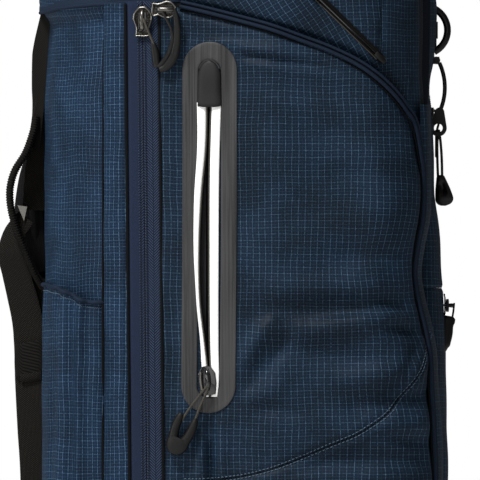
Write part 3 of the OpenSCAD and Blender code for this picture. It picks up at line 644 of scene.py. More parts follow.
# The piping's line over the top, down the front edge and round the lower corner.
PIPE_LINE = np.vstack([
    np.column_stack([run_of(PIPE_LINE_X), curve(PIPE_TOP, PIPE_LINE_X)]),
    np.column_stack([np.full(50, PIPE_RUN), np.linspace(632, PIPE_LOW, 50)]),
    np.column_stack([PIPE_RUN - PIPE_BEND + PIPE_BEND * np.cos(TURN), PIPE_LOW - PIPE_BEND * np.sin(TURN)])])


def pipe_distance(u, z):
    """How far a place on the main panel lies from the piping's line."""
    flat = np.column_stack([u.ravel(), z.ravel()])
    best = np.full(len(flat), 1e9)
    for a, b in zip(PIPE_LINE, PIPE_LINE[1:]):
        d = b - a
        t = np.clip(((flat - a) @ d) / max(d @ d, 1e-9), 0, 1)
        best = np.minimum(best, np.hypot(*(flat - a - t[:, None] * d).T))
    return best.reshape(u.shape)


PATCH_U = float(run_of(12.3))
PATCH_Z0, PATCH_H, PATCH_W = 445.0, 305.0, 46.0
WINDOW_Z0, WINDOW_H, WINDOW_W = 458.0, 277.0, 19.0


def zip_x(z):
    """The long zip's centre line, which leans a little."""
    return -43.2 + (SIDE_TOP - z) * 0.009


# Soft folds of the main panel: from (x, z) to (x, z), width, and height outwards.
FOLDS = [
    (10, 748, 96, 738, 5, 1.5), (20, 741, 128, 727, 4.0, -1.3), (36, 733, 118, 721, 6, 0.9),
    (18, 757, 80, 752, 4, -1.0), (12.5, 440, 13.5, 385, 3.5, -2.4), (4, 436, 5, 380, 6, 1.5),
    (22, 436, 21, 378, 6, 1.4), (38, 486, 62, 520, 7, 2.4), (46, 470, 76, 506, 6, -2.4),
    (40, 450, 70, 468, 8, 1.4), (56, 548, 150, 552, 9, 1.5), (50, 528, 182, 538, 9, -2.6),
    (90, 512, 178, 527, 8, 2.6), (150, 520, 186, 510, 7, -2.6), (60, 500, 150, 489, 10, -2.2),
    (110, 470, 186, 486, 9, 2.0), (128, 452, 188, 461, 6, -2.2), (160, 440, 192, 444, 7, 1.6),
    (70, 440, 176, 424, 12, 1.2), (60, 405, 190, 409, 9, -2.0), (50, 385, 170, 392, 10, 1.8),
    (96, 600, 172, 612, 14, 1.0), (110, 575, 180, 574, 9, -1.4), (60, 590, 130, 580, 16, 0.8),
    (-24, 740, -20, 600, 7, 0.8), (-18, 560, -14, 440, 7, -0.9), (177, 500, 150, 452, 6, -1.6),
    (150, 540, 184, 522, 5, -1.6), (120, 548, 160, 536, 7, 1.3), (140, 425, 192, 418, 6, -1.7),
    (150, 436, 193, 432, 5, 1.2), (40, 452, 92, 444, 7, -1.3), (60, 700, 150, 690, 8, 0.6),
    (80, 676, 165, 668, 9, -0.7), (100, 640, 180, 645, 8, -0.6),
]
LOW_FOLDS = [
    (-10, 330, 170, 300, 14, 1.8), (20, 240, 180, 262, 16, -2.0), (0, 180, 150, 170, 18, 1.6),
]


def side_relief(u, z, patch=True):
    """How far the main panel's cloth stands off the plan: crown, folds and puckers."""
    x = np.interp(u, RUN, PLAN[:, 0])
    high = -3.2 * np.exp(-(pipe_distance(u, z) / 5.0) ** 2)
    high = high + 1.2 * smoothstep(0, 60, x) * smoothstep(0, 40, 187 - x)
    folds, low_folds = 0, 0
    for ax, az, bx, bz, width, height in FOLDS:
        folds = folds + ridge(u, z, (run_of(ax), az), (run_of(bx), bz), width, height)
    for ax, az, bx, bz, width, height in LOW_FOLDS:
        low_folds = low_folds + ridge(u, z, (run_of(ax), az), (run_of(bx), bz), width, height)
    folds = folds + smoothstep(420, 300, z) * low_folds
    edge = 0.3 + 0.7 * smoothstep(3, 24, pipe_distance(u, z))
    folds = folds * 2.8 * edge + waves(u, z, 3, 5, 62, 0.5) + waves(u, z, 5, 4, 150, 0.9)
    clear = np.maximum(np.maximum(u - PATCH_U - 46, PATCH_U - 24 - u), 426 - z)
    deep = 3.6 + 3.6 * smoothstep(0, 9, clear)  # the lining pouch lies close behind the cloth
    folds = np.where(folds < 0, -deep * np.tanh(-folds / deep), 6.0 * np.tanh(folds / 6.0))
    if patch:
        near = np.maximum(np.abs(u - PATCH_U) - PATCH_W / 2 + 4,
                          np.abs(z - PATCH_Z0 - PATCH_H / 2) - PATCH_H / 2 + 6)
        folds = folds * smoothstep(-2, 12, near)
        high = high + 0.9 * smoothstep(26, -4, near)
    seam = seam_distance(u, z)
    return high + folds - 1.1 * np.exp(-(seam / 2.0) ** 2) + 0.9 * np.exp(-((np.abs(seam) - 5.0) / 3.2) ** 2)


# The curved seam across the panel's lower front corner, with a row of stitches either side.
SEAM_KNOTS = [(190, 511), (181, 489), (172, 470.5), (161, 455), (150, 443), (130, 428), (112, 419.5),
              (86, 408), (62, 399), (37, 393), (10, 390), (-12, 389.5)]
SEAM, _ = spline([(float(run_of(x)), z) for x, z in SEAM_KNOTS], 160)


def seam_distance(u, z):
    """How far a place on the main panel lies from the curved seam."""
    flat = np.column_stack([u.ravel(), z.ravel()])
    best = np.full(len(flat), 1e9)
    for a, b in zip(SEAM[::3], SEAM[3::3]):
        d = b - a
        t = np.clip(((flat - a) @ d) / (d @ d), 0, 1)
        best = np.minimum(best, np.hypot(*(flat - a - t[:, None] * d).T))
    return best.reshape(u.shape)


def side_cloth_point(u, z, out=0.0):
    """A point on the main panel's cloth, out millimetres off it."""
    u, z = np.broadcast_arrays(np.asarray(u, float), np.asarray(z, float))
    return plan_at(u, z, side_relief(u, z) + out)


def mirrored(points):
    """The same points on the bag's far side."""
    return points * np.array([1, -1, 1])


# ---------------------------------------------------------------- side pockets

def run_right(z):
    """Where the main panel meets the piping, at a height."""
    drop = np.clip(PIPE_LOW - z, 0, PIPE_BEND)
    bend = PIPE_RUN - PIPE_BEND + np.sqrt(np.maximum(PIPE_BEND ** 2 - drop ** 2, 0))
    x = np.concatenate([np.linspace(-31, 186.4, 400), [186.5]])
    h = curve(PIPE_TOP, x)
    over = run_of(np.interp(z, h[::-1], x[::-1]))
    return np.where(z > 640, over, np.where(z < PIPE_LOW, bend, PIPE_RUN))


def tape_edges(z):
    """Inner edges of the two open tapes: x of the left tape's and of the right tape's."""
    left = curve([(455, 12.2), (468, 12.0), (480, 10.8), (505, 8.0), (535, 4.6), (570, 3.6), (620, 5.4),
                  (665, 9.4), (705, 10.2)], z)
    right = curve([(455, 13.4), (468, 13.6), (500, 12.6), (560, 12.0), (640, 12.2), (705, 13.9)], z)
    return left, right


def side_pocket(mirror):
    """The pocket's main panel, back flank, gusset and bottom, as one cloth."""
    place = mirrored if mirror else (lambda p: p)
    name = "far_pocket" if mirror else "side_pocket"
    z = np.arange(SIDE_LOW + 4, 788.1, STEP)
    cols = int(250 / STEP)
    left = run_of(zip_x(z) + 12.6)
    right = run_right(z)
    share = np.linspace(0, 1, cols)
    u = left[:, None] + (right - left)[:, None] * share[None, :]
    zz = np.broadcast_to(z[:, None], u.shape)
    relief = side_relief(u, zz, not mirror)
    relief = relief - 2.4 * np.exp(-((u - left[:, None]) / 1.6) ** 2)
    p = plan_at(u, zz, relief)
    keep = None
    if not mirror:
        x = p[:, :, 0]
        a, b = tape_edges(zz)
        hole = (x > a - 1.0) & (x < b + 1.0) & (zz > 462) & (zz < 699)
        keep = ~(hole[:-1, :-1] | hole[1:, 1:])
    uv = np.stack([u, zz], -1)
    panel = surface(name + "_panel", place(p), uv, NAVY, keep=keep, flip=mirror)
    settle(panel, "bag", "ripstop", name)

    # back flank, from the cover to the zip
    z2 = np.arange(SIDE_LOW + 2, 784.1, STEP)
    fold = run_of(zip_x(z2) - 13.0)
    v = np.linspace(0, 1, 34)
    u2 = 0.2 + (fold - 0.2)[:, None] * v[None, :]
    zz2 = np.broadcast_to(z2[:, None], u2.shape)
    away = fold[:, None] - u2
    puff = -2.4 * np.exp(-(away / 1.5) ** 2) + 1.5 * np.exp(-((away - 6) / 6) ** 2)
    puff = puff - 3.0 * np.exp(-(u2 / 8) ** 2) + waves(u2, zz2, 11, 4, 55, 0.35)
    p = plan_at(u2, zz2, puff)
    flank = surface(name + "_flank", place(p), np.stack([u2, zz2], -1), NAVY_PAINTED_SHEEN, flip=mirror)
    settle(flank, "bag", "ripstop")
    # the seam between the flank and the cover, its shadow painted as a near-black tube
    h = np.linspace(SIDE_LOW + 4, 752, 60)
    line = place(np.column_stack([np.full(60, -76.0), np.full(60, -99.6), h]))
    radius = [(0, 1.5), (0.6, 1.2), (1, 0.35)]
    item = tube(name + "_seam_shadow", line, radius, PAINTED_SHADOW, 120, 8, (1, 0, 0), 0.6)
    settle(item, "bag", "navy_trim")

    # gusset, from the piping round to the front pocket
    z3 = np.arange(SIDE_LOW + 2, 700.1, STEP)
    u3, zz3 = np.meshgrid(np.linspace(PIPE_RUN, RUN[-1], 26), z3)
    puff = -3.0 * np.exp(-((u3 - PIPE_RUN) / 4) ** 2) - 3.0 * np.exp(-((RUN[-1] - u3) / 5) ** 2)
    puff = puff + waves(u3, zz3, 13, 4, 60, 0.4)
    low = np.clip((PIPE_LOW - zz3) / (PIPE_LOW - SIDE_LOW), 0, 1)
    puff = puff - 14 * low ** 2
    p = plan_at(u3, zz3, puff)
    gusset = surface(name + "_gusset", place(p), np.stack([u3, zz3], -1), NAVY, flip=mirror)
    settle(gusset, "bag", "ripstop")
    # its edge turned in and sewn to the front pocket's flank, coloured in painted shade
    sewn = np.array([176.0, -75.2, 0.0])
    end = p[:, -1:, :]
    into = end + (sewn - end) * np.array([1, 1, 0]) * np.linspace(0, 1, 7)[None, :, None]
    turn = surface(name + "_gusset_edge", place(into), into[..., [0, 2]], TRIM_SHADE, flip=mirror)
    settle(turn, "bag", "navy_trim")
    if mirror:
        # the far pocket's top, from the piping back to the tube
        x = np.concatenate([np.linspace(-49, 170, 80), np.linspace(171, 186.5, 24)])
        ring = plan_at(run_of(x), curve(PIPE_TOP, x), -1.0)
        on_tube = np.sqrt(np.maximum(113.6**2 - ring[:, 0]**2, 0))
        inner = np.column_stack([ring[:, 0] - 6.0 * smoothstep(150, 186, ring[:, 0]),
                                 -np.maximum(on_tube, 75.4), ring[:, 2] + 4.0])
        t = np.linspace(0, 1, 14)[None, :, None]
        top = ring[:, None] + (inner - ring)[:, None] * t + np.array([0, 0, 3.0]) * np.sin(np.pi * t)
        run = np.broadcast_to(run_of(x)[:, None], top.shape[:2])
        uv = np.stack([run, np.broadcast_to(t[..., 0] * 40, run.shape)], -1)
        settle(surface(name + "_top", place(top), uv, NAVY), "bag", "ripstop")

    # bottom panel, turned under
    u4 = np.linspace(0.2, RUN[-1], 120)
    ring = plan_at(u4, np.full(120, SIDE_LOW + 5.0), -3.0)
    inner = np.column_stack([np.clip(ring[:, 0], -70, 182) * 0.62, np.minimum(ring[:, 1] * 0.8, -78),
                             np.full(120, SIDE_LOW + 0.5)])
    rows = []
    for t in np.linspace(0, 1, 10):
        sag = np.array([0, 0, -4.0 * math.sin(math.pi * min(t * 1.6, 1) / 2)])
        rows.append(ring + (inner - ring) * t + sag)
    rows = np.array(rows)
    base = surface(name + "_bottom", place(rows), rows[..., :2], NAVY, flip=not mirror)
    settle(base, "bag", "ripstop")


def side_zip(mirror):
    """Wide zip: two tapes with a herringbone half, the coil's stitch rows, and painted shadow lines between
    the tapes, under the stitches and at its edges.
    """
    place = mirrored if mirror else (lambda p: p)
    tag = "far" if mirror else "side"
    z = np.linspace(74, 783.5, 290)
    centre = run_of(zip_x(z))
    bands = [("outer", -14.2, -4.6, TAPE_PLAIN, 0.15), ("stitch", -4.6, -0.35, TAPE_TWILL_B, 0.75),
             ("inner", 0.35, 7.4, TAPE_TWILL_A, 0.7), ("edge", 7.4, 14.2, TAPE_TWILL_B, 0.2)]
    for label, a, b, material, lift in bands:
        v = np.linspace(0, 1, 9)
        off = a + (b - a) * v
        u = centre[:, None] + off[None, :]
        rise = lift - 0.5 * np.exp(-(off / 0.8) ** 2) - 1.6 * np.exp(-((np.abs(off) - 14.2) / 1.6) ** 2)
        zz = np.broadcast_to(z[:, None], u.shape)
        p = plan_at(u, zz, rise[None, :])
        uv = np.stack([np.broadcast_to(off, u.shape), zz], -1)
        item = surface(f"{tag}_zip_{label}", place(p), uv, material, flip=mirror)
        settle(item, "bag", "zip_tape", *([f"{tag}_zip"] if label == "outer" else []))
    # shadow lines: between the tapes, under the stitches and in the folds at both edges
    shadows = ((0, 0.2, 0.5), (-3.0, 0.55, 0.85), (2.2, 0.55, 0.75), (-14.4, 0.3, 1.3), (13.9, 0.3, 1.2))
    for k, (off, out, r) in enumerate(shadows):
        path = place(plan_at(centre + off, z, out))[::3]
        line = tube(f"{tag}_zip_shadow_{k}", path, r, PAINTED_SHADOW, 220, 8, (1, 0, 0), 0.35)
        settle(line, "bag", "zip_tape")
    pile = Pile()
    pitch = 1.42
    for off in (-3.0, 2.2):
        for h in np.arange(102, 770, pitch):
            c = plan_at(run_of(zip_x(h)) + off, h, 0.9)
            along = np.array([*PANEL_T, 0.35]) * 0.8
            stitch(pile, c, along, np.array([0, 0, 0.36]), np.array([*PANEL_N, 0]) * 0.45)
    item = pile.build(f"{tag}_zip_stitches", [THREAD_ZIP], place, sharp=0)
    settle(item, "bag", "zip_tape")


def stitch(pile, centre, half_long, half_wide, half_high):
    """One thread stitch: a low pillow of three rings."""
    ring = [(-1, -0.6), (0, -1), (1, -0.6), (1, 0.6), (0, 1), (-1, 0.6)]
    rows = []
    for lift, size in ((-0.4, 1.0), (0.6, 0.85), (1.0, 0.4)):
        high = centre + half_high * lift
        rows.append([high + half_long * a * size + half_wide * b * size for a, b in ring])
    rows = np.array(rows)
    pile.grid(rows, rows[..., [0, 2]])


def seam_stitches():
    """Two rows of stitches along the curved seam, and a near-black tube in its groove as painted shadow."""
    pile = Pile()
    d = unit(np.gradient(SEAM, axis=0))
    side = np.column_stack([-d[:, 1], d[:, 0]])
    length = np.sum(np.linalg.norm(np.diff(SEAM, axis=0), axis=1))
    for off in (-1.5, 1.5):
        for at in np.arange(1.0, length - 1, 3.2):
            k = at / length * (len(SEAM) - 1)
            i = int(k)
            q = SEAM[i] + (SEAM[min(i + 1, len(SEAM) - 1)] - SEAM[i]) * (k - i) + side[i] * off
            c = side_cloth_point(q[0], q[1], 0.6)
            ahead = side_cloth_point(q[0] + d[i, 0], q[1] + d[i, 1], 0.25)
            t = unit(ahead - c)
            n = np.array([PANEL_N[0] * 0.6 + 0.1, -0.98, 0.0])
            stitch(pile, c, t * 1.25, unit(np.cross(t, n)) * 0.42, n * 0.4)
    settle(pile.build("seam_stitches", [THREAD], sharp=0), "bag", "navy_trim")
    groove = side_cloth_point(SEAM[:, 0], SEAM[:, 1], 0.35)
    item = tube("seam_groove_painted_shadow", groove[::2], 0.42, PAINTED_SHADOW, 260, 8, (0, 1, 0), 0.6)
    settle(item, "bag", "navy_trim")


def piping(mirror):
    """The double rolled piping between the main panel and its gusset, with a near-black tube by each as
    painted shadow in its groove.
    """
    place = mirrored if mirror else (lambda p: p)
    tag = "far" if mirror else "side"
    line = PIPE_LINE[PIPE_LINE[:, 0] > run_of(-14.0)] if not mirror else PIPE_LINE
    line, _ = spline(line[::2], 260)
    d = unit(np.gradient(line, axis=0))
    side = np.column_stack([-d[:, 1], d[:, 0]])
    for label, off, out, r, material in (("cord", 1.3, -0.7, 2.0, TRIM), ("cord_back", 5.2, -0.9, 1.6, TRIM),
                                         ("groove", -1.3, -1.9, 0.9, PAINTED_SHADOW),
                                         ("groove_back", 3.4, -1.5, 0.9, PAINTED_SHADOW)):
        q = line + side * off
        path = plan_at(np.minimum(q[:, 0], RUN[-1] - 1), q[:, 1], out)
        item = tube(f"{tag}_piping_{label}", place(path), r, material, 260, 12, (0, 1, 0), 0.8)
        settle(item, "bag", "navy_trim", *([f"{tag}_piping"] if label == "cord" else []))


# ---------------------------------------------------------------- valuables pocket

def capsule(cx, z0, w, h, count):
    """An upright capsule's outline, from its right side round; count is a multiple of 4."""
    q = count // 4
    top = np.linspace(0, math.pi, 2 * q, endpoint=False)
    r = w / 2
    pts = [(cx + r * math.cos(a), z0 + h - r + r * math.sin(a)) for a in top]
    pts += [(cx - r, z) for z in np.linspace(z0 + h - r, z0 + r, q, endpoint=False)]
    pts += [(cx + r * math.cos(a), z0 + r + r * math.sin(a)) for a in top + math.pi]
    pts += [(cx + r, z) for z in np.linspace(z0 + r, z0 + h - r, q, endpoint=False)]
    return np.array(pts)


def valuables():
    """The welded patch, its two open tapes, the lining behind the gap and the garage."""
    outer = capsule(PATCH_U, PATCH_Z0, PATCH_W, PATCH_H, 96)
    inner = capsule(PATCH_U, WINDOW_Z0, WINDOW_W, WINDOW_H, 96)
    rows, uvs = [], []
    # the film's section, from its outer edge (0) to the window's edge (1)
    for share, out in ((0, -0.6), (0, 0.5), (0.02, 1.1), (0.07, 1.35), (0.2, 1.3), (0.45, 1.35), (0.7, 1.5),
                       (0.86, 1.7), (0.96, 1.6), (1.0, 1.1), (1.0, 0.0)):
        q = outer + (inner - outer) * share
        q = np.column_stack([q[:, 0] - 1.2 * smoothstep(600, 445, q[:, 1]), q[:, 1]])
        rows.append(side_cloth_point(q[:, 0], q[:, 1], out))
        uvs.append(q)
    patch = surface("valuables_patch_film", np.array(rows), np.array(uvs), FILM, closed=True, flip=True)
    settle(patch, "bag", "patch_film", "valuables_patch")

    # tapes: left one pushed open, right one straight, both laminated
    z = np.linspace(458.5, 700, 150)
    a, b = tape_edges(z)
    left_wide = [(458, 3.4), (480, 4.6), (505, 3.4), (540, 3.0), (580, 4.4), (640, 6.4), (700, 8.2)]
    right_wide = [(458, 5.4), (470, 6.6), (500, 7.4), (600, 8.2), (700, 8.3)]
    for tag, inner_x, widths, turn in (("left", a, left_wide, -1), ("right", b, right_wide, 1)):
        wide = curve(widths, z)
        t = np.linspace(0, 1, 9)
        edge = run_of(inner_x)
        u = edge[:, None] + turn * wide[:, None] * t[None, :]
        zz = np.broadcast_to(z[:, None], u.shape)
        fold = 1.9 + 0.5 * np.sin(t * math.pi)[None, :] - 1.0 * np.exp(-(t / 0.12) ** 2)[None, :]
        tipped = turn == -1
        lifted = smoothstep(640, 560, zz) * smoothstep(462, 500, zz) * 1.8 * (1 - t)[None, :]
        p = side_cloth_point(u, zz, fold + (lifted if tipped else 0))
        item = surface(f"white_tape_{tag}", p, np.stack([u, zz], -1), WHITE, flip=tipped)
        solidify(item, 0.7)
        settle(item, "bag", "white_tape", f"valuables_tape_{tag}")
        # the tape's grey edge, with its fine teeth
        pile = Pile()
        path = side_cloth_point(edge - turn * 0.25, z, 1.2 if not tipped else 2.0)
        pile.cord(path[::3], 0.65, 90, 8)
        settle(pile.build(f"tape_edge_{tag}", [CORD]), "bag", "white_tape")

    # the gap's dark lining, a bag behind the open zip
    z = np.linspace(463, 703, 60)
    a, b = tape_edges(z)
    t = np.linspace(-0.25, 1.25, 9)
    u = run_of(a)[:, None] + (run_of(b) - run_of(a))[:, None] * t[None, :]
    zz = np.broadcast_to(z[:, None], u.shape)
    ends = smoothstep(462, 490, zz) * smoothstep(704, 690, zz)
    depth = -1.2 - 9.0 * np.sin(np.clip(t, 0, 1) * math.pi)[None, :] * ends
    item = surface("valuables_lining", side_cloth_point(u, zz, depth), np.stack([u, zz], -1), LINING)
    settle(item, "bag", "lining")

    # garage: a domed moulding, open below
    rows, uvs = [], []
    for s in np.linspace(0, 1, 15):
        height = 697 + 38.2 * s
        past = max(s - 0.62, 0.0)
        half = 10.4 * math.sqrt(max(1 - (past / 0.385) ** 2, 0.0)) - 0.9 * s
        v = np.linspace(-1, 1, 21)
        dome = 1.6 + 2.6 * np.clip(1 - v ** 4, 0, 1) * math.sqrt(max(1 - (past / 0.4) ** 2, 0))
        rows.append(side_cloth_point(PATCH_U + v * half, height - 0.8 * (1 - v**2) * (s == 0), dome))
        uvs.append(np.column_stack([v * 10, np.full(21, height)]))
    item = surface("garage_moulding", np.array(rows), np.array(uvs), GARAGE)
    solidify(item, 1.2)
    settle(item, "bag", "garage_rubber", "zip_garage")
    pile = Pile()
    a = np.linspace(0.5, math.pi - 0.5, 14)
    lip = side_cloth_point(PATCH_U + 9.6 * np.cos(a), 721.5 + 13.4 * np.sin(a), 1.9)
    pile.cord(lip, 0.5, 30, 8)
    settle(pile.build("garage_lip", [FILM]), "bag", "patch_film")


# ---------------------------------------------------------------- zip sliders and pulls

def on_cloth(x, z, lift=0.0, turn=0.0, far=False):
    """Maps local points (x across, -y out, z up) onto the side pocket at a place."""
    base = plan_at(run_of(x), z, lift)
    n, t, up = np.array([*PANEL_N, 0.0]), np.array([*PANEL_T, 0.0]), np.array([0, 0, 1.0])
    c, s = math.cos(turn), math.sin(turn)

    def place(p):
        q = np.column_stack([p[:, 0] * c + p[:, 2] * s, p[:, 1], -p[:, 0] * s + p[:, 2] * c])
        out = base + q[:, :1] * t - q[:, 1:2] * n + q[:, 2:3] * up
        return mirrored(out) if far else out
    return place


def slider(name, place, body, slot, node, material, near, length, wide):
    """A heavy coil slider: pointed nose, waisted body, flat tail plate and bridge."""
    l, w = length / 2, wide / 2
    shape = rounded([(-w * 0.36, l), (w * 0.36, l), (w * 0.86, l * 0.62), (w * 0.98, l * 0.2),
                     (w * 0.62, -l * 0.45), (w * 0.7, -l * 0.98), (-w * 0.7, -l * 0.98),
                     (-w * 0.62, -l * 0.45), (-w * 0.98, l * 0.2), (-w * 0.86, l * 0.62)],
                    [2.6, 2.6, 1.6, 2.4, 2.4, 0.7, 0.7, 2.4, 2.4, 1.6])
    pile = Pile()
    pile.plate(shape, near, near + 1.7, 0.5)
    rim = np.vstack([shape, shape[:1]])
    pile.cord([(x * 0.9, -near - 1.8, z * 0.93) for x, z in rim[::4]], 0.7, 70, 8, (0, 1, 0))
    pile.plate(rounded([(-w * 0.34, l * 0.7), (w * 0.34, l * 0.7), (w * 0.4, -l * 0.62),
                        (-w * 0.4, -l * 0.62)], 2.0), near + 1.7, near + 2.5, 0.3, 1)
    # bridge: a bar standing over the body, which the pull's eye runs on
    bar = [(0, -near - 1.5, l * 0.78), (0, -near - 3.4, l * 0.66), (0, -near - 5.0, l * 0.4),
           (0, -near - 5.2, 0), (0, -near - 4.8, -l * 0.34), (0, -near - 3.0, -l * 0.5),
           (0, -near - 1.5, -l * 0.54)]
    pile.cord(bar, [(0, 1.5), (0.2, 1.7), (0.5, 1.85), (0.8, 1.7), (1, 1.5)], 30, 12, (1, 0, 0), flat=0.7)
    pile.plate(rounded([(-w * 0.72, -l * 0.76), (w * 0.72, -l * 0.76), (w * 0.76, -l), (-w * 0.76, -l)],
                       0.6), near + 1.2, near + 2.4, 0.3)
    item = pile.build(name, [material, GLOSS], place)
    return settle(item, body, slot, node)


def pull_end(name, place, body, node, length, wide, thick):
    """A moulded pull end: narrow above, round below, with a shallow oval recess."""
    rows, uvs = [], []
    n = 28
    for t in np.linspace(0, 1, 34):
        z = -length * t
        s = 0.30 + 0.55 * t ** 1.15 + 0.1 * math.sin(math.pi * t)
        end = math.sqrt(max(1 - max((t - 0.72) / 0.28, 0) ** 2.2, 0)) if t > 0.72 else 1
        top = 1 if t > 0.06 else 0.7 + 5 * t
        w = wide / 2 * min(s * 1.16, 1.0) * end * top
        h = thick / 2 * (0.62 + 0.38 * math.sin(math.pi * min(t + 0.15, 1)) ** 0.5) * max(end, 0.2) * top
        a = np.linspace(0, 2 * math.pi, n, endpoint=False)
        x = w * np.sign(np.cos(a)) * np.abs(np.cos(a)) ** 0.8
        y = h * np.sign(np.sin(a)) * np.abs(np.sin(a)) ** 0.8
        dent = 0.55 * thick / 2 * np.exp(-((x / (wide * 0.14)) ** 4)) * math.exp(-(((t - 0.45) / 0.22) ** 4))
        y = y - np.sign(y) * np.minimum(np.abs(y) * 0.8, dent)
        rows.append(np.column_stack([x, y, np.full(n, z)]))
        uvs.append(np.column_stack([a * wide / 6, np.full(n, z)]))
    pile = Pile().grid(np.array(rows), np.array(uvs))
    settle(pile.build(name, [PULL], place, sharp=50), body, "pull_rubber", node)


def turned(place, lean, origin=(0, 0, 0), tip=0.0):
    """Wraps a placing so that local points first lean about y, then tip outwards about x."""
    c, s, ct, st = math.cos(lean), math.sin(lean), math.cos(tip), math.sin(tip)
    o = np.array(origin, float)

    def go(p):
        q = np.column_stack([p[:, 0], p[:, 1] * ct - p[:, 2] * st, p[:, 1] * st + p[:, 2] * ct])
        q = np.column_stack([q[:, 0] * c + q[:, 2] * s, q[:, 1], -q[:, 0] * s + q[:, 2] * c])
        return place(q + o)
    return go


def pulls():
    """Every zip's slider with its pull."""
    # lower slider of the side zip, nose up, and its cord in a moulded sleeve
    here = on_cloth(-42.4, 766.5, 0.6)
    slider("side_slider_body", here, "side_low_slider", "gunmetal", "side_slider_low", STEEL, 1.4, 25, 17)
    pile = Pile()
    pile.cord([(0.5, -6.2, 3.0), (2.2, -7.0, 0.5), (4.4, -6.4, -5.5), (7.2, -5.2, -12.5),
               (9.6, -4.6, -18.8)], 1.05, 30, 8, material=0)
    pile.cord([(0.5, -6.2, 3.0), (-0.6, -7.0, 1.5), (0.6, -7.2, -0.6), (2.2, -7.0, 0.2)], 0.9, 20, 8)
    pile.cord([(9.2, -4.6, -17.6), (10.6, -4.4, -24.5), (11.6, -4.6, -31.5), (12.4, -5.0, -37.5)],
              [(0, 1.9), (0.15, 2.7), (0.6, 3.3), (1, 2.8)], 40, 14, (1, 0, 0.2), material=1, flat=0.5)
    settle(pile.build("side_pull_cord", [CORD, PULL], here, sharp=60), "side_low_tab", "pull_rubber",
           "side_pull_low")

    # upper slider on the top run, lying across, and its broad band
    here = on_cloth(-24.5, 776.5, 0.8)
    slider("top_slider_body", turned(here, math.radians(92)), "side_top_slider", "gunmetal",
           "side_slider_top", STEEL, 3.2, 21, 15)
    pile = Pile()
    pile.cord([(-1.5, -8.2, 0.5), (0.4, -8.6, -3.6), (3.4, -7.4, -9.5), (6.4, -6.0, -16.2)], 1.0, 24, 8)
    pile.cord([(8.6, -5.6, 0.4), (10.4, -6.0, -6), (11.4, -6.2, -16), (11.0, -6.2, -28), (8.4, -6.2, -39),
               (2.4, -6.6, -47), (-3.2, -6.9, -49.5)],
              [(0, 1.8), (0.12, 2.5), (0.45, 3.1), (0.75, 3.9), (0.92, 3.2), (1, 2.2)], 70, 14, (1, 0, 0),
              material=1, flat=0.42)
    pile.cord([(6.0, -5.8, -15), (7.4, -6.0, -24), (5.0, -6.2, -34), (0.4, -6.6, -42),
               (-4.4, -6.9, -47.5)], [(0, 1.2), (0.5, 1.9), (1, 1.8)], 50, 12, (1, 0, 0), material=1,
              flat=0.45)
    settle(pile.build("top_pull_band", [CORD_DARK, PULL], here, sharp=60), "side_top_tab", "pull_rubber",
           "side_pull_top")

    # valuables slider, its cord loop and moulded end
    here = on_cloth(10.6, 471.5, 1.2, math.radians(-4))
    pile = Pile()
    shape = rounded([(-3.4, 12.2), (3.2, 12.6), (7.4, 6.2), (7.8, -2), (6.4, -11.4), (-2.4, -12.0),
                     (-7.0, -8.6), (-7.0, 6.0)], [3, 3, 2.4, 2, 1.2, 1.2, 2, 2.6])
    pile.plate(shape, 1.0, 3.2, 0.7)
    pile.cord([(-4.6, -3.6, 7.2), (-4.9, -4.6, 1.0), (-4.2, -3.8, -6.8)], 1.3, 20, 10, (1, 0, 0), material=1)
    pile.cord([(0.4, -2.6, 9.8), (1.0, -5.2, 6.4), (1.4, -6.0, 0.5), (1.0, -5.4, -4.6), (0.4, -2.6, -7.4)],
              [(0, 1.7), (0.5, 2.3), (1, 1.6)], 30, 12, (1, 0, 0))
    settle(pile.build("valuables_slider_body", [GLOSS, STEEL], here), "valuables_zip_slider",
           "gloss_black", "valuables_slider")
    loop = [(-24.6, -5.0, -33.2), (-16.0, -5.8, -22.0), (-7.2, -6.4, -12.4), (-1.4, -7.2, -6.4),
            (0.6, -7.4, -4.6), (0.8, -6.9, -7.2), (-2.6, -6.4, -13.4), (-7.0, -5.8, -21.4),
            (-11.4, -5.0, -30.6)]
    pile = Pile().cord(loop, 1.0, 70, 8)
    settle(pile.build("valuables_loop", [CORD], here), "valuables_tab", "pull_cord", "valuables_cord")
    end = turned(here, math.radians(27), (-17.4, -5.6, -29.0))
    pull_fork("valuables_end", end, "valuables_tab", "valuables_pull_end")

    # upper pocket's slider and pull, lying along the zip
    up = lambda p: upper_place(p, 9.0)
    slider("upper_slider_body", up, "upper_zip_slider", "gloss_black", "upper_slider", GLOSS, 2.2, 15, 9)
    pile = Pile().cord([(0, -8.2, 1), (0, -8.6, -4), (0, -7.4, -9)], 0.9, 16, 8)
    pile.plate(rounded([(-2.4, -8), (2.4, -8), (2.9, -26), (-2.9, -26)], 1.6), 6.0, 8.2, 0.6, 1)
    settle(pile.build("upper_pull_tab", [CORD_DARK, PULL], up), "upper_tab", "pull_rubber", "upper_pull")

    # front pockets, and the far side zip below
    front = lambda x, y, z: (lambda p: np.column_stack([x - p[:, 1], y + p[:, 0], z + p[:, 2]]))
    here = front(193.5, FRONT_ZIP_Y, 689)
    slider("front_upper_slider_body", here, "front_upper_slider", "gunmetal", "front_slider_upper", STEEL,
           2.4, 17, 11)
    pile = Pile().cord([(0, -8.6, 2), (0, -9.2, -1), (0, -8.6, -6), (0, -7.2, -11)], 1.0, 24, 8)
    pile.plate(rounded([(-2.2, -10), (2.2, -10), (3.1, -33), (-3.1, -33)], 1.8), 5.8, 8.2, 0.7, 1)
    settle(pile.build("front_upper_pull_tab", [CORD_DARK, PULL], here), "front_upper_tab", "pull_rubber",
           "front_pull_upper")

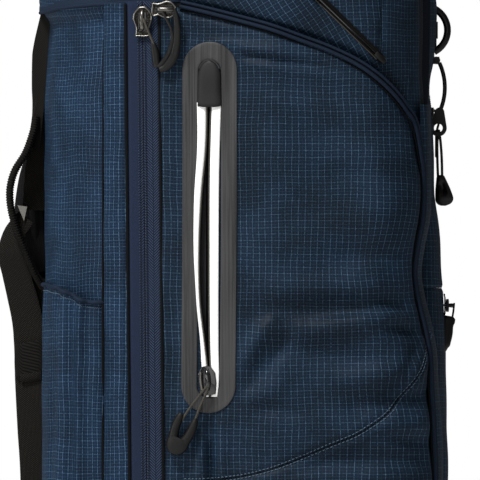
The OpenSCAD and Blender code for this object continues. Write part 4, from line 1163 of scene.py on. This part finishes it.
    here = front(205, -34, 533)
    slider("front_lower_slider_body", turned(here, math.radians(90)), "front_lower_slider", "gunmetal",
           "front_slider_lower", PLASTIC, 2.4, 17, 11)
    pile = Pile().cord([(1.1, -7.4, -12), (1.5, -8.6, -5), (0.6, -9.2, 1), (-0.6, -9.2, 1),
                        (-1.5, -8.6, -5), (-1.1, -7.4, -12)], 0.8, 40, 8)
    settle(pile.build("front_lower_cord", [CORD_DARK], here), "front_lower_tab", "pull_cord",
           "front_cord_lower")
    pull_end("front_lower_end", turned(here, 0, (0, -4.6, -8.6), math.radians(9)), "front_lower_tab",
             "front_end_lower", 31, 14, 13)

    here = on_cloth(-43, 766, 0.6, far=True)
    slider("far_slider_body", here, "far_zip_slider", "gunmetal", "far_slider", STEEL, 1.4, 24, 16)
    pile = Pile().cord([(0, -6.4, 3), (0, -7.2, -1), (0, -6.6, -8), (0, -5.6, -18)], 1.0, 30, 8)
    pile.cord([(0, -5.6, -17), (0, -5.4, -30), (0, -5.6, -44)],
              [(0, 1.8), (0.15, 2.6), (0.7, 3.4), (1, 2.6)], 40, 14, (1, 0, 0), material=1, flat=0.5)
    settle(pile.build("far_pull_cord", [CORD, PULL], here, sharp=60), "far_tab", "pull_rubber", "far_pull")


def pull_fork(name, place, body, node):
    """A moulded end with two arms that close into a round heel, and an oval eye between them."""
    pile = Pile()
    for side in (-1, 1):
        pile.cord([(side * 6.4, 0, 1.0), (side * 6.8, 0, -5), (side * 6.6, 0, -12), (side * 4.6, 0, -20),
                   (0.4 * side, 0, -25)], [(0, 2.2), (0.1, 3.0), (0.5, 3.9), (1, 4.6)], 50, 16, (1, 0, 0),
                  flat=0.85)
    rows = []
    for t in np.linspace(0, 1, 26):
        w = 9.6 * math.sqrt(max(1 - (2 * t - 0.9) ** 2 / 1.25, 0.0)) if t < 0.99 else 0.3
        h = 4.3 * math.sqrt(max(1 - (2 * t - 0.9) ** 2 / 1.3, 0.0)) if t < 0.99 else 0.2
        a = np.linspace(0, 2 * math.pi, 24, endpoint=False)
        rows.append(np.column_stack([max(w, 0.3) * np.cos(a), max(h, 0.2) * np.sin(a),
                                     np.full(24, -11 - 22 * t)]))
    rows = np.array(rows)[8:]  # the heel starts below the eye
    pile.grid(rows, rows[..., [0, 2]])
    settle(pile.build(name, [PULL], place, sharp=60), body, "pull_rubber", node)


# ---------------------------------------------------------------- upper pocket

UPPER = [(-30.0, -127.0), (-25.0, -131.0), (70.0, -145.0), (150.0, -137.0), (186.0, -108.0), (187.5, -76.0)]


def rounded_open(points, radius):
    """An open line with each corner rounded."""
    p = np.asarray(points, float)
    out = [p[0]]
    for i in range(1, len(p) - 1):
        a, b = unit(p[i - 1] - p[i]), unit(p[i + 1] - p[i])
        reach = min(radius, 0.45 * np.linalg.norm(p[i - 1] - p[i]), 0.45 * np.linalg.norm(p[i + 1] - p[i]))
        start, end = p[i] + a * reach, p[i] + b * reach
        out += [start, 0.25 * start + 0.5 * p[i] + 0.25 * end, end]
    return np.array(out + [p[-1]])


UP_LINE, UP_RUN = spline(rounded_open(UPPER, 16), 200)
UP_N = unit(np.column_stack([np.gradient(UP_LINE[:, 1]), -np.gradient(UP_LINE[:, 0])]))
UP_FLAT = math.atan2(8, 80)


def upper_place(p, along):
    """Local points (x across the zip, -y out, z along it) onto the upper pocket's diagonal zip."""
    angle = math.radians(134)
    z = p[:, 2] + along
    x = p[:, 0] * math.cos(angle) + z * math.sin(angle)
    h = -p[:, 0] * math.sin(angle) + z * math.cos(angle)
    s = 18 + x
    wx = 70 + s * math.cos(UP_FLAT) - p[:, 1] * math.sin(UP_FLAT)
    wy = -144.6 + s * math.sin(UP_FLAT) + p[:, 1] * math.cos(UP_FLAT)
    return np.column_stack([wx, wy, 799 + h])


def upper_low(x):
    """The upper pocket's lower edge, just above the piping, at an x."""
    height = curve([(-50, 790), (-30, 788.0), (0, 781), (37, 771.5), (87, 756.5), (112, 747), (137, 734.5),
                    (157, 719), (172, 702), (190, 664)], x)
    return np.where(x < 176, height, 664)


def upper_point(u, z, out):
    """A point on the upper pocket's face, out millimetres off it."""
    x, y = np.interp(u, UP_RUN, UP_LINE[:, 0]), np.interp(u, UP_RUN, UP_LINE[:, 1])
    nx, ny = np.interp(u, UP_RUN, UP_N[:, 0]), np.interp(u, UP_RUN, UP_N[:, 1])
    return np.stack(np.broadcast_arrays(x + nx * out, y + ny * out, z), -1)


def upper_pocket():
    """The pocket above the piping, with its sloping top and its diagonal zip."""
    step = 2.4
    u = np.arange(0, UP_RUN[-1] + 0.1, step)
    x = np.interp(u, UP_RUN, UP_LINE[:, 0])
    low = upper_low(x)
    share = np.linspace(0, 1, 56)
    zz = low[None, :] + (835 - low)[None, :] * share[:, None]
    uu = np.broadcast_to(u[None, :], zz.shape)
    xx = np.broadcast_to(x[None, :], zz.shape)
    from_low, from_top = zz - low[None, :], 835 - zz
    # signed distance from the diagonal zip, and place along it
    zip_line = (xx - 84.5) * 0.695 - (802.6 - zz) * 0.719
    along = (xx - 84.5) * 0.719 + (802.6 - zz) * 0.695
    on_zip = np.clip(-np.maximum(-along, along - 98), 0, 4) / 4
    rise = -2.6 * np.exp(-(from_low / 3.0) ** 2) - 4.0 * np.exp(-(from_top / 5.0) ** 2)
    rise = rise + 1.3 * np.sin(np.clip(from_low / 60, 0, 1) * math.pi)
    rise = rise - 2.0 * np.exp(-(zip_line / 3.4) ** 2) * on_zip
    rise = rise + 1.4 * np.exp(-((zip_line + 8) / 6) ** 2) * on_zip
    seam = xx - (154.5 - (790 - zz) * 0.045)  # from the upright seam, which leans a little
    rise = rise - 1.6 * np.exp(-(seam / 1.4) ** 2) * smoothstep(725, 740, zz) + waves(uu, zz, 21, 5, 60, 0.45)
    p = upper_point(uu, zz, rise)
    rows, cols = zz.shape
    faces, uv = grid_faces(rows, cols), []
    flat_u, flat_z = uu.ravel(), zz.ravel()
    flat_line, flat_seam = zip_line.ravel(), seam.ravel()
    # each panel's cloth runs its own way: beyond the seam, below the zip and above it
    c, s = math.cos(math.radians(33)), math.sin(math.radians(33))
    for f in faces:
        i = list(f)
        mid_line, mid_seam = flat_line[i].mean(), flat_seam[i].mean()
        a, b = flat_u[i], flat_z[i]
        if mid_seam > 0:
            uv += list(zip(a * 1.45, b * 1.1))
        elif mid_line > 0:
            uv += list(zip(a * 0.996 + b * 0.03, b * 0.999 - a * 0.03))
        else:
            uv += list(zip(a * c + b * s, -a * s + b * c))
    # the faces at the pocket's far end, past x 184.6, take painted shade
    painted_shade_end = [int(xx.ravel()[list(f)].mean() > 184.6) for f in faces]
    item = add_mesh("upper_pocket_cloth", p, faces, np.array(uv), [NAVY, TRIM_SHADE], painted_shade_end)
    settle(item, "bag", "ripstop", "upper_pocket")
    # top panel, sloping back to the collar
    edge = p[-1]
    size = np.hypot(edge[:, 0], edge[:, 1])
    inner = np.column_stack([edge[:, 0] / size * 131, np.minimum(edge[:, 1] / size * 131, -20),
                             np.full(len(edge), COLLAR_TOP)])
    rows = np.array([edge + (inner - edge) * t for t in np.linspace(0, 1, 12)])
    settle(surface("upper_pocket_top", rows, rows[..., :2], NAVY), "bag", "ripstop")

    # the valley between this pocket's end and the front pockets, a sheet in painted shade
    h = np.linspace(655, 800, 30)
    wide = np.interp(h, [655, 690, 730, 800], [2.0, 4.6, 6.6, 7.6])
    t = np.linspace(0, 1, 6)
    valley = np.stack(np.broadcast_arrays(186.5 + wide[:, None] * t, -80.5 + 6 * t, h[:, None]), -1)
    settle(surface("gusset_valley", valley, valley[..., [0, 2]], TRIM_SHADE), "bag", "navy_trim")

    # the diagonal zip, dark, sunk between two folded edges
    t = np.linspace(-8, 92, 80)
    for tag, a, b in (("tape_low", -3.2, -0.2), ("tape_high", 0.2, 3.2)):
        v = np.linspace(a, b, 6)
        pts = np.array([upper_place(np.column_stack([v, np.full(6, -1.5), np.full(6, s)]), 0.0) for s in t])
        uv = np.stack(np.broadcast_arrays(v[None, :], t[:, None]), -1)
        item = surface(f"upper_zip_{tag}", pts, uv, TAPE_BLACK, flip=True)
        settle(item, "bag", "black_tape", *(["upper_zip"] if tag == "tape_low" else []))
    pile = Pile()
    # its coil, and the folded edge on each side
    for across, out, radius, material in ((0, -1.9, 1.1, 2), (3.1, -1.8, 0.42, 1), (-3.1, -1.6, 0.5, 0)):
        line = upper_place(np.array([[across, out, s] for s in t[::4]]), 0.0)
        pile.cord(line, radius, 80, 8, material=material)
    settle(pile.build("upper_zip_coil", [TAPE_BLACK, CORD, GLOSS]), "bag", "black_tape")
    stop = Pile().plate(rounded([(-2.4, 84), (2.4, 84), (2.0, 95), (-2.0, 95)], 1.2), 1.0, 3.2, 0.5)
    settle(stop.build("upper_zip_stop", [PLASTIC], lambda q: upper_place(q, 0.0)), "bag", "black_plastic")


# ---------------------------------------------------------------- cover, bottle pocket, collar

def cover_radius(z):
    """The cover's radius at a height, waisted below the collar."""
    return curve([(5, 122.0), (60, 123.2), (80, 124.5), (684, 124.5), (716, 123.8), (736, 122.4),
                  (756, 121.4), (769, 122.0), (775, 126.3), (800, 126.4)], z)


def cover():
    """The padded cover on the strap side, and its cloth behind the far pocket."""
    z = np.arange(61.0, 796.0, STEP)
    edge = math.acos(75.6 / COVER_R)
    a = np.linspace(-edge - 0.05, edge + 0.05, int(240 / STEP))
    aa, zz = np.meshgrid(a, z)
    u = aa * COVER_R
    folds = 0.9 * np.sin(u / 8.5 + 0.4) * smoothstep(545, 600, zz) * smoothstep(790, 740, zz)
    r = cover_radius(zz) + waves(u, zz, 31, 5, 70, 0.5) + folds
    r = r - 3.2 * np.exp(-((np.abs(aa) - edge - 0.05) / 0.035) ** 2)
    p = np.stack([-r * np.cos(aa), r * np.sin(aa), zz], -1)
    item = surface("cover_cloth", p, np.stack([u * 1.25, zz], -1), NAVY_PAINTED_SHEEN, flip=True)
    settle(item, "bag", "ripstop", "body_cover")
    # the same cloth carried on over the tube behind the far pocket
    a = np.linspace(math.radians(34), math.radians(130), 60)
    aa, zz = np.meshgrid(a, np.linspace(66, 800, 80))
    r = 112.6 + waves(aa * 112, zz, 33, 4, 80, 0.4)
    p = np.stack([r * np.cos(aa), r * np.sin(aa), zz], -1)
    settle(surface("cover_behind_pocket", p, np.stack([aa * 112, zz], -1), NAVY_PAINTED_SHEEN), "bag", "ripstop")


def bottle_line():
    """The bottle pocket's outline in plan, from the front seam round to the strap side."""
    knots = [(-75.6, -103.5), (-82, -101.6), (-92, -98.2), (-104, -91.0), (-114, -80.5), (-121.6, -66),
             (-126.3, -50), (-128.2, -34), (-128.4, -20), (-127.0, -10), (-125.3, -4)]
    q, run = spline(knots, 150)
    n = unit(np.column_stack([np.gradient(q[:, 1]), -np.gradient(q[:, 0])]))
    return q, run, -n if n[0, 1] > 0 else n


def bottle_pocket():
    """The stretch pocket with its pleats, rolled hem, dark mouth and zigzag stitches."""
    q, run, n = bottle_line()
    x = q[:, 0]
    hem = curve([(-129, 552), (-126, 551), (-116, 548.5), (-106, 544), (-97, 539.5), (-88, 537.4),
                 (-75, 537)], x)
    share = np.arange(0, 1.0001, STEP / 240)
    low = 300.0
    zz = low + (hem - low)[None, :] * share[:, None]
    u = np.broadcast_to(run[None, :], zz.shape)
    from_top = hem[None, :] - zz
    pleat = (1.5 * np.sin(u / 4.7 + 0.6) + 0.8 * np.sin(u / 2.9)) * np.exp(-from_top / 60.0)
    pleat = pleat * smoothstep(0, 10, u) * smoothstep(run[-1], run[-1] - 10, u)
    long_fold = sum(height * np.exp(-((u - at) / width) ** 2) for at, width, height in
                    ((22, 4.0, 2.4), (32, 4.5, -2.4), (44, 5.5, 1.4), (60, 5.0, -1.2)))
    rise = pleat + 1.3 * long_fold * smoothstep(300, 340, zz) + waves(u, zz, 41, 4, 70, 0.6)
    rise = rise + 2.0 * np.sin(np.clip((zz - low) / 236, 0, 1) * math.pi)
    rise = rise - 3.5 * np.exp(-(run[None, :] - u) / 5.0) - 2.6 * np.exp(-u / 3.0)
    rise = rise - 3.0 * np.exp(-((zz - low) / 6.0) ** 2) - 1.0 * np.exp(-((from_top - 5.5) / 1.4) ** 2)
    p = np.stack([q[None, :, 0] + n[None, :, 0] * rise, q[None, :, 1] + n[None, :, 1] * rise, zz], -1)
    item = surface("bottle_pocket_cloth", p, np.stack([u * 1.25, zz], -1), NAVY_PAINTED_SHEEN)
    settle(item, "bag", "ripstop", "bottle_pocket")
    top = p[-1]
    knots = top[::5] + np.array([0, 0, -0.6])
    item = tube("bottle_hem_roll", knots, 1.9, TRIM, 180, 12, (0, 0, 1), 1.1)
    settle(item, "bag", "navy_trim", "bottle_hem")
    # dark mouth behind the hem
    back = np.stack([top[:, 0] - n[:, 0] * 8, top[:, 1] - n[:, 1] * 8, hem - 3], -1)
    rows = np.array([top + (back - top) * t for t in np.linspace(0, 1, 6)])
    settle(surface("bottle_pocket_mouth", rows, rows[..., :2], LINING), "bag", "lining")
    # zigzag stitches below the hem
    pile = Pile()
    row = p[-3]
    d = unit(np.gradient(row, axis=0))
    for i in range(2, len(row) - 2, 1):
        up = np.array([0, 0, 1.0]) * (1 if i % 2 else -1)
        out = np.array([n[i, 0], n[i, 1], 0])
        stitch(pile, row[i] + out * 0.3, unit(d[i] + 0.9 * up) * 0.8, unit(np.cross(d[i], out)) * 0.3,
               out * 0.3)
    settle(pile.build("bottle_hem_stitches", [THREAD], sharp=0), "bag", "navy_trim")


def collar():
    """The collar's cloth, with the bound hem that dips on the strap side."""
    a = np.arange(0, 2 * math.pi, 0.02)
    dip = [(0, 784), (0.8, 784), (1.5, 784), (1.9, 783), (2.2, 781.6), (2.6, 779.0), (2.9, 776.0),
           (math.pi, 776)]
    low = curve([(-at, h) for at, h in dip[:0:-1]] + dip, (a + math.pi) % (2 * math.pi) - math.pi)
    share = np.linspace(0, 1, 30)
    zz = low[None, :] + (COLLAR_TOP - low)[None, :] * share[:, None]
    aa = np.broadcast_to(a[None, :], zz.shape)
    u = aa * COLLAR_R
    r = COLLAR_R + 0.2 - 2.4 * np.exp(-((COLLAR_TOP - zz) / 3) ** 2) + waves(u, zz, 51, 4, 90, 0.35)
    r = r - 0.9 * np.exp(-((zz - low[None, :] - 5.6) / 0.9) ** 2)
    p = np.stack([r * np.cos(aa), r * np.sin(aa), zz], -1)
    faces = grid_faces(*zz.shape, closed=True)
    above = (zz - low[None, :]).ravel()
    hem = [int(above[list(f)].mean() < 5.2) for f in faces]
    item = add_mesh("collar_cloth", p, faces, np.stack([u, zz], -1), [NAVY_PAINTED_SHEEN, TRIM], hem)
    settle(item, "bag", "ripstop", "collar_band")
    edge = COLLAR_R - 0.6
    ring = np.column_stack([edge * np.cos(a), edge * np.sin(a), low - 0.2])[::4]
    ring = np.vstack([ring, ring[:1]])
    settle(tube("collar_hem", ring, 1.5, TRIM, 300, 10, (0, 0, 1)), "bag", "navy_trim")


# ---------------------------------------------------------------- front pockets

FRONT_ZIP_Y = 34
# How far out the front pockets' faces stand, by height.
FRONT_X = [(70, 196), (110, 205), (200, 209), (390, 208.6), (440, 207.4), (497, 206.6), (538, 205.2),
           (560, 203.6), (587, 202.0), (620, 198.4), (660, 196.6), (694, 194.8), (708, 193.2),
           (722, 194.2), (738, 197.6), (760, 198.6), (784, 198.4), (800, 196)]


def front_channel(y, z):
    """How far the upright zip's channel sinks the pocket's face, so that its slider runs straight."""
    sunk = np.maximum(curve(FRONT_X, z) - 194.6, 0) * np.exp(-((y - FRONT_ZIP_Y) / 15) ** 4)
    return sunk * smoothstep(548, 562, z) * smoothstep(716, 706, z)


def front_pocket(tag, low, high, node, seed, soft):
    """One of the two pockets on the front; soft is how far its lower and upper edges roll."""
    z = np.arange(low, high + 0.1, STEP)
    z[-1] = high
    roll = 0
    for r, turn in zip(soft, (z - low, high - z)):
        roll = roll + r * (1 - np.sqrt(np.clip(1 - (1 - np.clip(turn / r, 0, 1)) ** 2, 0, 1)))
    face = curve(FRONT_X, z) - roll
    rows, uvs = [], []
    for h, f, r in zip(z, face, roll):
        half = 74.6 - r
        outline = [(122, -half), (f - 26, -half), (f - 9, -half + 6), (f, -half + 26), (f + 0.8, 0),
                   (f, half - 26), (f - 9, half - 6), (f - 26, half), (122, half)]
        q, run = spline(rounded_open(outline, 14), 150)
        rows.append(np.column_stack([q, np.full(150, h)]))
        uvs.append(np.column_stack([run, np.full(150, h)]))
    rows, uvs = np.array(rows), np.array(uvs)
    n = unit(np.stack([np.gradient(rows[..., 1], axis=1), -np.gradient(rows[..., 0], axis=1),
                       np.zeros(rows.shape[:2])], -1))
    rows = rows + n * waves(uvs[..., 0], uvs[..., 1], seed, 5, 65, 0.55)[..., None]
    rows[..., 0] -= front_channel(rows[..., 1], rows[..., 2]) * (rows[..., 0] > 180)
    item = surface(f"{tag}_cloth", rows, uvs, NAVY)
    settle(item, "bag", "ripstop", node)
    for label, ring, flip in (("top", rows[-1], False), ("base", rows[0], True)):
        back = np.column_stack([np.full(150, 122.0), ring[:, 1], ring[:, 2]])
        sheet = np.array([ring + (back - ring) * t for t in np.linspace(0, 1, 8)])
        settle(surface(f"{tag}_{label}", sheet, sheet[..., :2], NAVY, flip=flip), "bag", "ripstop")


def upright_zip(p):
    """Local points (x across, -y out, z along) onto the upper front pocket's zip."""
    face = curve(FRONT_X, p[:, 2]) - front_channel(FRONT_ZIP_Y, p[:, 2])
    return np.column_stack([face + 0.9 - p[:, 1], FRONT_ZIP_Y + p[:, 0], p[:, 2]])


def level_zip(p):
    """Local points (x across, -y out, z along) onto the zip between the front pockets."""
    return np.column_stack([206.6 - p[:, 1], p[:, 2], 533 - p[:, 0]])


def front_zips():
    """The tapes, coil and stitches of both front zips."""
    for tag, place, length in (("front_zip_upper", upright_zip, (559, 709)),
                               ("front_zip_lower", level_zip, (-46, 46))):
        across = np.array([0, 0.6, 0]) if place is upright_zip else np.array([0, 0, 0.6])
        t = np.linspace(*length, 90)
        for label, a, b, material in (("left", -9.6, -0.3, TAPE_TWILL_A), ("right", 0.3, 9.6, TAPE_TWILL_B)):
            v = np.linspace(a, b, 7)
            pts = np.array([place(np.column_stack([v, -0.5 + 0.5 * (np.abs(v) > 8), np.full(7, s)]))
                            for s in t])
            uv = np.stack(np.broadcast_arrays(v[None, :], t[:, None]), -1)
            item = surface(f"{tag}_{label}", pts, uv, material)
            settle(item, "bag", "zip_tape", *([tag] if label == "left" else []))
        pile = Pile().cord([tuple(place(np.array([[0, -0.4, s]]))[0]) for s in t[::5]], 0.9, 80, 8,
                           (0, 1, 0.3), 0, 0.6)
        for s in np.arange(length[0] + 1, length[1] - 1, 1.5):
            for off in (-2.0, 2.0):
                c = place(np.array([[off, -0.9, s]]))[0]
                ahead = place(np.array([[off, -0.9, s + 0.5]]))[0]
                stitch(pile, c, unit(ahead - c) * 0.5, across, np.array([0.35, 0, 0]))
        settle(pile.build(f"{tag}_coil", [TAPE_PLAIN], sharp=0), "bag", "zip_tape")


# ---------------------------------------------------------------- strap

def strap():
    """The shoulder strap's webbing in its layers, with keeper, folded end and pad."""
    web = [(-119, 2, 792), (-121.0, 1, 775), (-126.5, 2, 747), (-129.6, 4, 718), (-130.4, 7, 697),
           (-134.0, 9, 664)]
    side = [(0.8, -0.6, 0), (0.8, -0.6, 0.1), (0.85, -0.5, 0.15), (0.8, -0.6, 0.1), (0.75, -0.65, 0.1),
            (0.8, -0.6, 0.2)]
    item = ribbon("strap_upper_webbing", web, side, [17, 19, 19, 15, 12, 13], 2.2, WEB_FINE, 80)
    settle(item, "bag", "webbing", "strap_upper_web")
    # second layer behind it, folded down to the pad
    item = ribbon("strap_upper_fold",
                  [(-114, 6, 786), (-117.5, 7, 752), (-123.5, 8, 716), (-128.5, 10, 688),
                   (-131.5, 14, 655), (-134, 18, 612)], [(0.9, 0.3, 0)] * 6, [13, 14, 14, 14, 20, 22], 2.0,
                  WEB, 80)
    settle(item, "bag", "webbing")
    # the loose bight that stands out from the bag, seen on edge, with its ribs
    bight = [(-132.5, 5, 690), (-135, 4, 677), (-141, 3, 660), (-149.5, 2, 646), (-153.5, 1, 634),
             (-154.3, 1, 622), (-152.2, 1, 608), (-147.4, 2, 592), (-142.4, 4, 580), (-135, 8, 562),
             (-127, 14, 548)]
    path, at = spline(bight, 560)
    t, w, n = frames(path, (0.15, -1, 0))
    a = np.linspace(0, 2 * math.pi, 14, endpoint=False)
    rib = 1 + 0.10 * np.sin(at * 2 * math.pi / 2.1)
    wide = curve([(0, 4.0), (0.1, 9.0), (0.85, 9.0), (1, 5.0)], at / at[-1])
    p = (path[:, None] + (rib * wide)[:, None, None] * np.cos(a)[None, :, None] * w[:, None]
         + (rib * 2.9)[:, None, None] * np.sin(a)[None, :, None] * n[:, None])
    item = surface("strap_bight", p, np.stack(np.broadcast_arrays(a[None, :] * 5, at[:, None]), -1),
                   WEB_FINE, closed=True, caps=True)
    settle(item, "bag", "webbing")
    # a second bight below, from the triangle down into the keeper
    lower = [(-141, 6, 606), (-150.5, 8, 592), (-153.5, 10, 576), (-149.5, 14, 560), (-144.5, 18, 541),
             (-140, 21, 520), (-138.2, 22, 500), (-137.6, 22, 470), (-136.4, 22, 430), (-134.9, 22, 390),
             (-134.8, 22, 300), (-135.5, 22, 226)]
    side = [(1, -0.3, 0.35), (1, -0.25, 0.3), (1, -0.2, 0.25), (1, -0.1, 0.12), (1, -0.1, 0.12),
            (1, -0.05, 0.1), (1, 0, 0.05), (1, 0, 0), (1, 0, 0), (1, 0, 0), (1, 0, 0), (1, 0, 0)]
    item = ribbon("strap_lower_webbing", lower, side, [16, 22, 25, 26, 25.5, 24, 22.5, 21, 23, 26, 26, 26],
                  2.2, WEB, 200)
    settle(item, "bag", "webbing", "strap_lower_web")
    # folded back tail beside it
    tail = [(-128.5, 26, 556), (-133, 25, 536), (-135, 25.5, 516), (-135.4, 25.5, 490), (-135, 25.5, 468)]
    item = ribbon("strap_tail", tail, [(1, 0, 0.1)] * 5, [17, 18, 18, 18, 18], 2.0, WEB, 60)
    settle(item, "bag", "webbing")
    # keeper: a smooth sleeve with slanting edges
    rows, uvs = [], []
    for t in np.linspace(0, 1, 14):
        a = np.linspace(0, 2 * math.pi, 40, endpoint=False)
        sx = np.sign(np.cos(a)) * np.abs(np.cos(a)) ** 0.35
        sy = np.sign(np.sin(a)) * np.abs(np.sin(a)) ** 0.7
        grow = 1 + 0.05 * math.sin(math.pi * t) - 0.06 * (t < 0.02) - 0.06 * (t > 0.98)
        z = 475.4 + 27.4 * t + sx * 2.2
        rows.append(np.column_stack([-137.6 + 12.6 * sx * grow, 22.6 + 5.2 * sy * grow, z]))
        uvs.append(np.column_stack([a * 8, z]))
    item = surface("keeper_sleeve", np.array(rows), np.array(uvs), WEB_FINE, closed=True, caps=True,
                   flip=True)
    settle(item, "keeper", "webbing", "strap_keeper")
    item = ribbon("strap_folded_end",
                  [(-137.4, 19.0, 479), (-137.2, 18.0, 474), (-136.8, 19.4, 470.4), (-136.8, 21.4, 472.4)],
                  [(1, 0, 0.12)] * 4, 17, 1.8, WEB, 30)
    settle(item, "bag", "webbing", "strap_web_end")
    # shoulder pad: spacer mesh over foam, bound at its edges
    path, at = spline([(-127, 48, 668), (-127, 50, 610), (-123, 60, 550), (-115, 74, 480), (-108, 83, 400),
                       (-103, 89, 320)], 90)
    t, w, n = frames(path, unit(np.column_stack([-path[:, 1], path[:, 0], np.zeros(90)])))
    rows, uvs = [], []
    a = np.linspace(0, 2 * math.pi, 40, endpoint=False)
    for k in range(90):
        end = min(1.0, math.sqrt(max(0.0, min(k, 89 - k) / 7.0)) * 0.6 + 0.4)
        x = 25.5 * end * np.sign(np.cos(a)) * np.abs(np.cos(a)) ** 0.6
        h = (6.2 * end * np.sign(np.sin(a)) * np.abs(np.sin(a)) ** 0.75
             * (1 - 0.25 * np.exp(-((np.abs(x) - 18) / 2.2) ** 2)) + 0.5 * math.sin(at[k] / 15))
        rows.append(path[k] + x[:, None] * w[k] + h[:, None] * n[k])
        uvs.append(np.column_stack([x + a, np.full(40, at[k])]))
    item = surface("shoulder_pad", np.array(rows), np.array(uvs), PAD, closed=True, caps=True)
    settle(item, "bag", "pad_fabric", "strap_pad")
    # dark layered webbing that fills the bight
    item = ribbon("strap_inner_layer",
                  [(-133, 30, 664), (-137.5, 30, 640), (-139, 30, 612), (-137, 30, 588), (-133, 30, 560)],
                  [(1, 0.1, 0)] * 5, [12, 19, 24, 22, 18], 3.0, PAD, 60)
    settle(item, "bag", "webbing")


# ---------------------------------------------------------------- tether, ring, hidden cloth

def tether():
    """The tether's doubled cord through its eyelet, and the moulded end."""
    x, y, z = 201.2, -30.0, 674.7
    pile = Pile()
    pile.cord([(x - 0.2, y, z - 37), (x - 0.8, y + 1.2, z - 20), (x - 0.8, y + 1.4, z - 6),
               (x + 0.1, y + 0.6, z + 1.8), (x + 0.4, y, z + 3.6), (x + 0.7, y - 0.6, z + 1.8),
               (x + 1.8, y - 1.4, z - 6), (x + 2.8, y - 1.2, z - 20), (x + 3.2, y, z - 37)], 1.15, 90, 10,
              (0, 1, 0.1))
    settle(pile.build("tether_loop", [CORD_DARK]), "tether_tab", "pull_cord", "tether_cord")
    place = lambda p: np.column_stack([x + 1.5 + p[:, 0], y + p[:, 1], z - 33.6 + p[:, 2]])
    pull_end("tether_moulded_end", turned(place, math.radians(-10)), "tether_tab", "tether_end", 26, 17, 12)


def sleeves():
    """The club sleeves: fabric walls below the divider grid."""
    z = np.linspace(7, 836, 60)
    for k, (x0, y0, x1, y1) in enumerate(((-106, 0, 106, 0), (-38, -99, -38, 99), (38, -99, 38, 99))):
        t = np.linspace(0, 1, 60)
        x, y = x0 + (x1 - x0) * t, y0 + (y1 - y0) * t
        hang = np.sin(np.clip((836 - z) / 120, 0, 1) * math.pi / 2)[:, None]
        sway = 1.6 * np.sin(t * 9 * math.pi)[None, :] * hang
        p = np.stack(np.broadcast_arrays(x + (sway if k else 0), y + (0 if k else sway), z[:, None]), -1)
        uv = np.stack(np.broadcast_arrays(t[None, :] * 212, z[:, None]), -1)
        item = surface(f"club_sleeve_{k + 1}", p, uv, LINING_GREY)
        settle(item, "bag", "lining", *(["divider_sleeves"] if k == 0 else []))


side_pocket(False)
side_pocket(True)
side_zip(False)
side_zip(True)
seam_stitches()
piping(False)
piping(True)
valuables()
upper_pocket()
cover()
bottle_pocket()
collar()
front_pocket("front_upper", 547.6, 799.0, "front_pocket_upper", 61, (1.0, 7.0))
front_pocket("front_lower", 71.0, 547.2, "front_pocket_lower", 67, (7.0, 1.0))
front_zips()
strap()
tether()
pulls()
sleeves()

# Pieces whose CAD shape is kept as it is.
KEPT = {
    BASE: ["base_cup", "top_cuff"],
    STEEL: ["base_rivets", "strap_triangle"],
    TUBE: ["body_tube"],
    ROD: ["side_stays"],
    PLASTIC: ["divider_grid", "ring_plate", "towel_ring", "tether_arm", "strap_anchor"],
    LINING: ["valuables_pouch"],
}
for material, names in KEPT.items():
    for node_name in names:
        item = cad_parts[node_name]
        for entry in item.material_slots:
            entry.material = material

# ---------------------------------------------------------------- floor, light and camera

scene = bpy.context.scene


def studio():
    """The floor, the world's light and three lamps."""
    bpy.ops.mesh.primitive_plane_add(size=7, location=(0, 0, 0))
    floor = bpy.context.object
    floor.name = "studio_floor"
    floor.data.materials.append(painted_floor())
    # white where the camera sees it, dimmer where it lights the bag
    scene.world = bpy.data.worlds.new("studio")
    t = Nodes(scene.world)
    seen = t.add("LightPath", {})["Is Camera Ray"]
    level = t.add("MapRange", {0: seen, 3: 0.17, 4: 1.0})[0]
    t.add("OutputWorld", {0: t.add("Background", {0: colour("#ffffff"), 1: level})[0]})

    def lamp(name, place, size, power):
        data = bpy.data.lights.new(name, "AREA")
        data.size, data.energy = size, power
        data.color = (1.0, 1.0, 1.0)
        item = bpy.data.objects.new(name, data)
        item.location = place
        d = np.array([0.0, 0.0, 0.6]) - np.array(place)
        tilt = math.acos(-d[2] / np.linalg.norm(d))
        item.rotation_euler = (tilt, 0, math.atan2(d[1], d[0]) - math.pi / 2)
        scene.collection.objects.link(item)

    lamp("key", (-0.95, -1.3, 2.8), 0.6, 92)
    lamp("side", (-2.4, -1.1, 0.9), 0.8, 17)
    lamp("front", (-0.6, -2.6, 0.9), 1.4, 10)


def camera():
    """A long lens, level, a long way off."""
    data = bpy.data.cameras.new("camera")
    data.lens, data.sensor_width = 1083.6, 36.0
    data.clip_start, data.clip_end = 0.1, 30
    item = bpy.data.objects.new("camera", data)
    item.location = (0.0369, -12.0, 0.5872)
    item.rotation_euler = (math.radians(90), 0, 0)
    scene.collection.objects.link(item)
    scene.camera = item


studio()
camera()
scene.view_settings.view_transform = "Standard"
